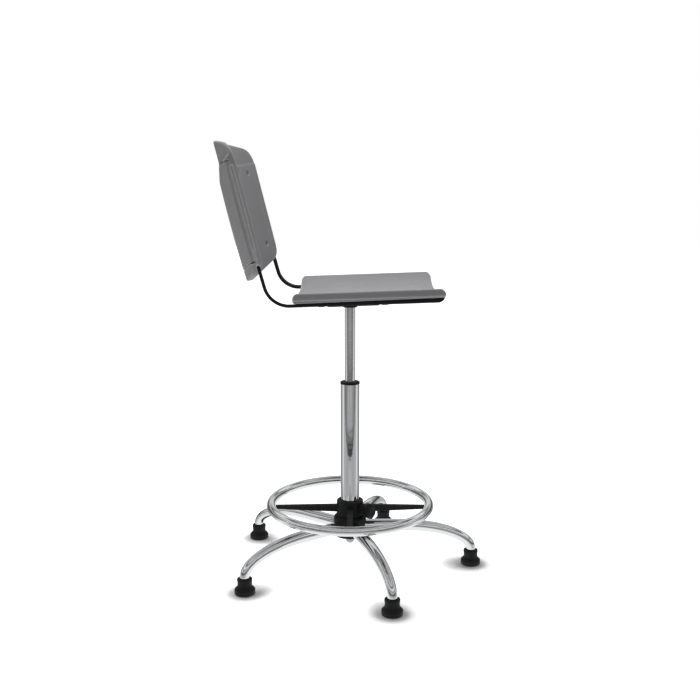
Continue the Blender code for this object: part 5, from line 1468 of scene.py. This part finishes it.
def cover_seat():
    """Cutter that takes the shell's rim down to where the cover sits on it."""
    size = settings("back")
    beside = size.half_width + size.panel
    high = size.crease_z + FIT
    apron_top = size.apron - size.bottom
    lower = [(x, apron_top + size.cover_arch * (x / size.half_width) ** 2) for x in back_columns()]
    outline = [(-beside, lower[0][1]), *lower, (beside, lower[-1][1]), (beside, high), (-beside, high)]
    return slab_mesh("cover_seat", outline, cover_rows(), lambda x, z: cover_front(x, z) - FIT,
                     lambda x, z: cover_rear(x, z) + size.panel)


def post_mesh(x, z):
    """The post behind the front wall that takes a screw."""
    size = settings("back")
    start = -size.wall / 2
    end = -size.post_r * math.cos(back_slope(x))
    post = [(0.0, start), (size.post_r, start), (size.post_r, end), (0.0, end)]
    return turned("screw_post", post, 24, False, screw_frame(x, z))


class STOOL_OT_back_shell(bpy.types.Operator):
    """Moulds the backrest's front shell with its crease and screw recesses"""

    bl_idname = "stool.back_shell"
    bl_label = "Back shell"

    def execute(self, context):
        size = settings("back")
        outline = panel_outline(size.half_width, -size.bottom, size.bottom_arch, size.bottom_corner_r,
                                size.top, size.top_arch, size.top_corner_r)
        mesh = slab_mesh("moulded_back", outline, shell_rows(), shell_front, shell_rear, size.front_round,
                         size.rear_round)
        mesh = carved(mesh, [back_pocket(), cover_seat()], angle=BACK_SHARP)
        mesh = carved(mesh, [post_mesh(x, z) for x, z in screw_places()], "UNION", BACK_SHARP)
        recesses = [recess_mesh(x, z) for x, z in screw_places()]
        mesh = carved(mesh, groove_meshes() + recesses + channel_meshes(), angle=BACK_SHARP)
        mesh.transform(back_frame())
        place_piece("moulded_back", mesh, "moulded_polypropylene", "seat", ["back_shell"])
        return {"FINISHED"}


def cover_outline(wall, steps):
    """Front view of the cover, drawn in by a wall."""
    size = settings("back")
    return panel_outline(
        size.half_width - size.cover_inset - wall, size.apron - size.bottom + size.cover_gap + wall,
        size.cover_arch, size.cover_bottom_r - wall, size.crease_z - wall, 0.0, size.cover_top_r, steps,
    )


class STOOL_OT_back_cover(bpy.types.Operator):
    """Moulds the backrest's rear cover"""

    bl_idname = "stool.back_cover"
    bl_label = "Back cover"

    def execute(self, context):
        size = settings("back")
        outline = cover_outline(0.0, 8)
        mesh = slab_mesh("moulded_cover", outline, cover_rows(), cover_front, cover_rear, size.seam,
                         size.cover_round)
        pocket = slab_mesh("cover_pocket", cover_outline(size.cover_wall, 5), cover_rows(), shell_front,
                           lambda x, z: cover_rear(x, z) - size.cover_wall)
        mesh = carved(mesh, [pocket, *groove_meshes(), *channel_meshes()], angle=BACK_SHARP)
        mesh.transform(back_frame())
        place_piece("moulded_cover", mesh, "moulded_polypropylene", "seat", ["back_cover"])
        return {"FINISHED"}


class STOOL_OT_back_screws(bpy.types.Operator):
    """Turns the backrest's screws with their hexagon sockets"""

    bl_idname = "stool.back_screws"
    bl_label = "Back screws"

    def execute(self, context):
        size = settings("back")
        face = -size.recess_depth
        under = face - size.screw_head
        end = face - size.screw_length
        profile = softened([
            (0.0, face),
            (size.screw_head_r, face, 0.0010),
            (size.screw_head_r, under),
            (size.screw_shank_r, under),
            (size.screw_shank_r, end, 0.0006),
            (0.0, end),
        ], closed=False)
        mouth = face + size.socket_depth / 2
        floor = face - size.socket_depth
        socket = [(0.0, mouth), (size.socket_r, mouth), (size.socket_r, floor), (0.0, floor)]
        for i, (x, z) in enumerate(screw_places(), 1):
            matrix = back_frame() @ screw_frame(x, z)
            hexagon = turned("hexagon", socket, 6, False, matrix)
            mesh = carved(turned("socket_screw", profile, 48, False, matrix), [hexagon])
            place_piece(f"socket_screw_{i}", mesh, "zinc_plated_steel", "seat", [f"back_screw_{i}"])
        return {"FINISHED"}


class STOOL_OT_workings(bpy.types.Operator):
    """Dresses the CAD nodes that stay in view: cross members, tray, lever, bolts and the hidden workings"""

    bl_idname = "stool.workings"
    bl_label = "Workings"

    def execute(self, context):
        for node in ("cross_member_front", "cross_member_rear", "back_strap"):
            dress_node(node, "powder_coated_steel")
        dress_node("mechanism_tray", "powder_coated_steel", 0.0008)
        dress_node("lever_grip", "glass_filled_nylon")
        dress_node("ring_liner", "glass_filled_nylon")
        dress_node("bumper", "moulded_rubber")
        steel = ["lever_arm", "lever_pin", "valve_button", "clamp_pad", "piston_rod", "rod_clip",
                 "bearing_washer_lower", "bearing_washer_upper", "bearing_ball_cage"]
        steel += [f"tray_bolt_{i}" for i in range(1, 5)] + [f"seat_screw_{i}" for i in range(1, 5)]
        steel += [f"glide_stem_{i}" for i in range(1, settings("base").legs + 1)]
        for node in steel:
            dress_node(node, "zinc_plated_steel")
        return {"FINISHED"}


# Studio

# How bright the paper is to the stool, with 1 to the eye
PAPER_LIGHT = 0.40
# Brightness against the turn away from the camera's side, 0 behind the camera and 1 behind the stool
WALL_STOPS = (
    (0.00, 0.46), (0.13, 0.44), (0.23, 0.26), (0.34, 0.26), (0.42, 0.50), (0.51, 0.95), (0.60, 0.52),
    (0.75, 0.20), (0.86, 0.30), (0.97, 0.80),
)
CARD_STOPS = (
    (0.00, 0.52), (0.20, 0.42), (0.40, 0.50), (0.51, 0.90), (0.60, 0.42), (0.75, 0.22), (0.86, 0.50),
    (1.00, 0.85),
)
# Brightness of the ceiling against the sine of the elevation
CEILING_STOPS = (
    (0.00, 0.50), (0.18, 0.24), (0.29, 0.85), (0.40, 0.18), (0.52, 0.85), (0.62, 0.80), (0.72, 0.14),
    (0.85, 0.62), (1.00, 0.36),
)


def make_floor_paper(shadow_reach):
    """Matt white background paper that glows in place of being lit, and its glow also lights the stool: plain
    white but for painted soft shadows, where ambient occlusion dims the glow round the glides."""
    tree, shader = new_finish("background_paper")
    fibre = noise(tree, surface_point(tree), 40.0, 3.0)
    open_sky = add_node(tree, "AmbientOcclusion", {"Distance": shadow_reach}, samples=16).outputs["AO"]
    # The glow is full to the eye and weaker as a light on the stool
    glow = blend_values(tree, add_node(tree, "LightPath").outputs["Is Camera Ray"], PAPER_LIGHT, 1.0)
    # Painted shadow: the glow dims where ambient occlusion finds a piece close over the paper
    painted_shadow_dimming = between(tree, open_sky, 0.05, 0.97, 0.82, 1.0, "SMOOTHSTEP")
    feed(tree, shader, {
        "Base Color": blend_colours(tree, fibre, grey(0.55), grey(0.57)),
        "Roughness": 1.0,
        "Specular IOR Level": 0.0,
        "Emission Color": grey(1.0),
        "Emission Strength": maths(tree, "MULTIPLY", painted_shadow_dimming, glow),
    })


def colour_stops(tree, value, stops):
    """A ramp of greys between places from 0 to 1."""
    node = add_node(tree, "ValToRGB", {"Fac": value})
    node.color_ramp.interpolation = "EASE"
    elements = node.color_ramp.elements
    while len(elements) < len(stops):
        elements.new(0.5)
    for element, (place, brightness) in zip(elements, stops):
        element.position = place
        element.color = grey(brightness)
    return node.outputs["Color"]


def turn_from_camera(tree, direction):
    """0 for directions on the camera's side and 1 for the ones straight behind the stool."""
    axes = add_node(tree, "SeparateXYZ", {0: direction}).outputs
    heading = maths(tree, "ARCTAN2", axes["Y"], maths(tree, "MULTIPLY", axes["X"], -1.0))
    return maths(tree, "DIVIDE", maths(tree, "ABSOLUTE", heading), math.pi)


def make_room(strength):
    """White to the camera. Round the stool stand softboxes at both sides, a dim room behind the camera and
    dark flags between, which draw the dark and bright streaks along the chrome."""
    world = bpy.context.scene.world or bpy.data.worlds.new("Room")
    bpy.context.scene.world = world
    world.use_nodes = True
    tree = world.node_tree
    tree.nodes.clear()
    direction = add_node(tree, "TexCoord").outputs["Generated"]
    rise = add_node(tree, "SeparateXYZ", {0: direction}).outputs["Z"]
    turn = turn_from_camera(tree, direction)
    walls = colour_stops(tree, turn, WALL_STOPS)
    upper = colour_stops(tree, rise, CEILING_STOPS)
    around = blend_colours(tree, between(tree, rise, 0.0, 1.0, 0.15, 0.45), walls, upper)
    # Rows of lamps and window bars, which the chrome draws out into fine streaks
    stretched = add_node(tree, "Mapping", {"Vector": direction, "Scale": (1.0, 1.0, 0.35)}).outputs["Vector"]
    bars = between(tree, noise(tree, stretched, 60.0, 3.0), 0.62, 1.34, 0.35, 0.65)
    # The dark skirting round the room, just over the horizon
    from_skirting = maths(tree, "ABSOLUTE", maths(tree, "ADD", rise, -0.05))
    bars = maths(tree, "MULTIPLY", bars, between(tree, from_skirting, 0.22, 1.0, 0.05, 0.12))
    around = add_node(tree, "VectorMath", {0: around, 1: bars}, operation="MULTIPLY").outputs[0]
    # The dark floor beyond the lit paper
    seen = blend_colours(tree, between(tree, rise, 0.0, 1.0, -0.262, -0.185), grey(0.01), around)
    # A dark flag beside the camera keeps the light off the surfaces that face it, but not out of the chrome
    path = add_node(tree, "LightPath").outputs
    flag = between(tree, turn, 0.28, 2.00, 0.20, 0.52)
    power = maths(tree, "MULTIPLY", blend_values(tree, path["Is Diffuse Ray"], 1.0, flag), strength)
    lit = add_node(tree, "Background", {"Color": seen, "Strength": power}).outputs[0]
    plain = add_node(tree, "Background", {"Color": grey(1.0), "Strength": 1.0}).outputs[0]
    mix = add_node(tree, "MixShader", {0: path["Is Camera Ray"], 1: lit, 2: plain}).outputs[0]
    add_node(tree, "OutputWorld", {"Surface": mix})


def lay_sheet(name, outline, low, high, finish):
    """Puts a flat sheet of the studio in the scene."""
    mesh = lofted(name, [[(x, y, z) for x, y in outline] for z in (low, high)])
    mesh.materials.append(bpy.data.materials[finish])
    sheet = bpy.data.objects.new(name, mesh)
    bpy.context.scene.collection.objects.link(sheet)
    return sheet


def make_reflector(front, reach):
    """The bright floor that the chrome sees: it ends in a straight edge on the camera's side."""
    tree, shader = new_finish("reflector_card")
    point = surface_point(tree)
    pattern = colour_stops(tree, turn_from_camera(tree, point), CARD_STOPS)
    far = add_node(tree, "VectorMath", {0: point}, operation="LENGTH").outputs["Value"]
    # White near the stool, where its light is
    bright = blend_colours(tree, between(tree, far, 0.0, 1.0, 0.32, 0.55), grey(1.0), pattern)
    glow = add_node(tree, "Emission", {"Color": bright, "Strength": 1.0}).outputs["Emission"]
    tree.links.new(glow, tree.nodes["Material Output"].inputs["Surface"])
    corners = ((-front, -reach), (reach, -reach), (reach, reach), (-front, reach))
    card = lay_sheet("reflector_card", corners, -0.012, -0.010, "reflector_card")
    card.visible_camera = False
    card.visible_diffuse = False
    card.visible_shadow = False
    return card


def hang_softbox(place, side, power):
    """A square softbox overhead that faces the foot of the column."""
    light = bpy.data.lights.new("overhead_softbox", "AREA")
    light.shape = "SQUARE"
    light.size = side
    light.energy = power
    lamp = bpy.data.objects.new("overhead_softbox", light)
    bpy.context.scene.collection.objects.link(lamp)
    lamp.location = place
    # The chrome sees the ceiling that the lamp lights, not the bare lamp
    lamp.visible_glossy = False
    lamp.rotation_euler = (-Vector(place)).to_track_quat("-Z", "Y").to_euler()


def set_camera(size):
    """The camera of the photograph: on the sitter's right, a little over the seat, looking slightly down."""
    lens = bpy.data.cameras.new("Camera")
    lens.sensor_width = SENSOR
    lens.lens = size.focal / PHOTO_SIZE * SENSOR
    camera = bpy.data.objects.new("Camera", lens)
    bpy.context.scene.collection.objects.link(camera)
    camera.location = (-size.distance, 0.0, size.height)
    look = Vector((math.cos(size.pitch), 0.0, -math.sin(size.pitch)))
    camera.rotation_euler = look.to_track_quat("-Z", "Y").to_euler()
    bpy.context.scene.camera = camera


class STOOL_OT_studio(bpy.types.Operator):
    """Lays the pale floor, hangs the lights and sets the camera at the photograph's view"""

    bl_idname = "stool.studio"
    bl_label = "Studio"

    def execute(self, context):
        size = settings("studio")
        make_floor_paper(size.shadow_reach)
        rim = arc((0.0, 0.0), size.floor_r, 0, 360, 96)[:-1]
        floor = lay_sheet("paper_floor", rim, -0.004, 0.0, "background_paper")
        floor.visible_glossy = False
        make_reflector(size.card_edge, size.card_reach)
        make_room(size.room)
        hang_softbox((size.key_x, size.key_y, size.key_height), size.key_size, size.key_power)
        set_camera(size)
        context.scene.view_settings.view_transform = "Standard"
        return {"FINISHED"}


OPERATORS = (
    STOOL_OT_finishes,
    STOOL_OT_legs,
    STOOL_OT_base_hub,
    STOOL_OT_glides,
    STOOL_OT_column,
    STOOL_OT_gas_lift,
    STOOL_OT_foot_ring,
    STOOL_OT_knob,
    STOOL_OT_side_bars,
    STOOL_OT_seat,
    STOOL_OT_back_shell,
    STOOL_OT_back_cover,
    STOOL_OT_back_screws,
    STOOL_OT_workings,
    STOOL_OT_studio,
)


class STOOL_PT_panel(bpy.types.Panel):
    """Lists the stool's pieces and sizes"""

    bl_idname = "STOOL_PT_panel"
    bl_label = "Swivel stool"
    bl_space_type = "VIEW_3D"
    bl_region_type = "UI"
    bl_category = "Swivel stool"

    def draw(self, context):
        for operator in OPERATORS:
            self.layout.operator(operator.bl_idname)
        for key, group in GROUPS.items():
            box = self.layout.box()
            box.label(text=key.title())
            for name in group.__annotations__:
                box.prop(settings(key), name)


CLASSES = (*GROUPS.values(), *OPERATORS, STOOL_PT_panel)


def register():
    for item in CLASSES:
        bpy.utils.register_class(item)
    for key, group in GROUPS.items():
        setattr(bpy.types.Scene, "stool_" + key, bpy.props.PointerProperty(type=group))


def unregister():
    for key in GROUPS:
        delattr(bpy.types.Scene, "stool_" + key)
    for item in reversed(CLASSES):
        bpy.utils.unregister_class(item)


def main():
    register()
    for operator in OPERATORS:
        family, name = operator.bl_idname.split(".")
        getattr(getattr(bpy.ops, family), name)()


if __name__ == "__main__":
    main()
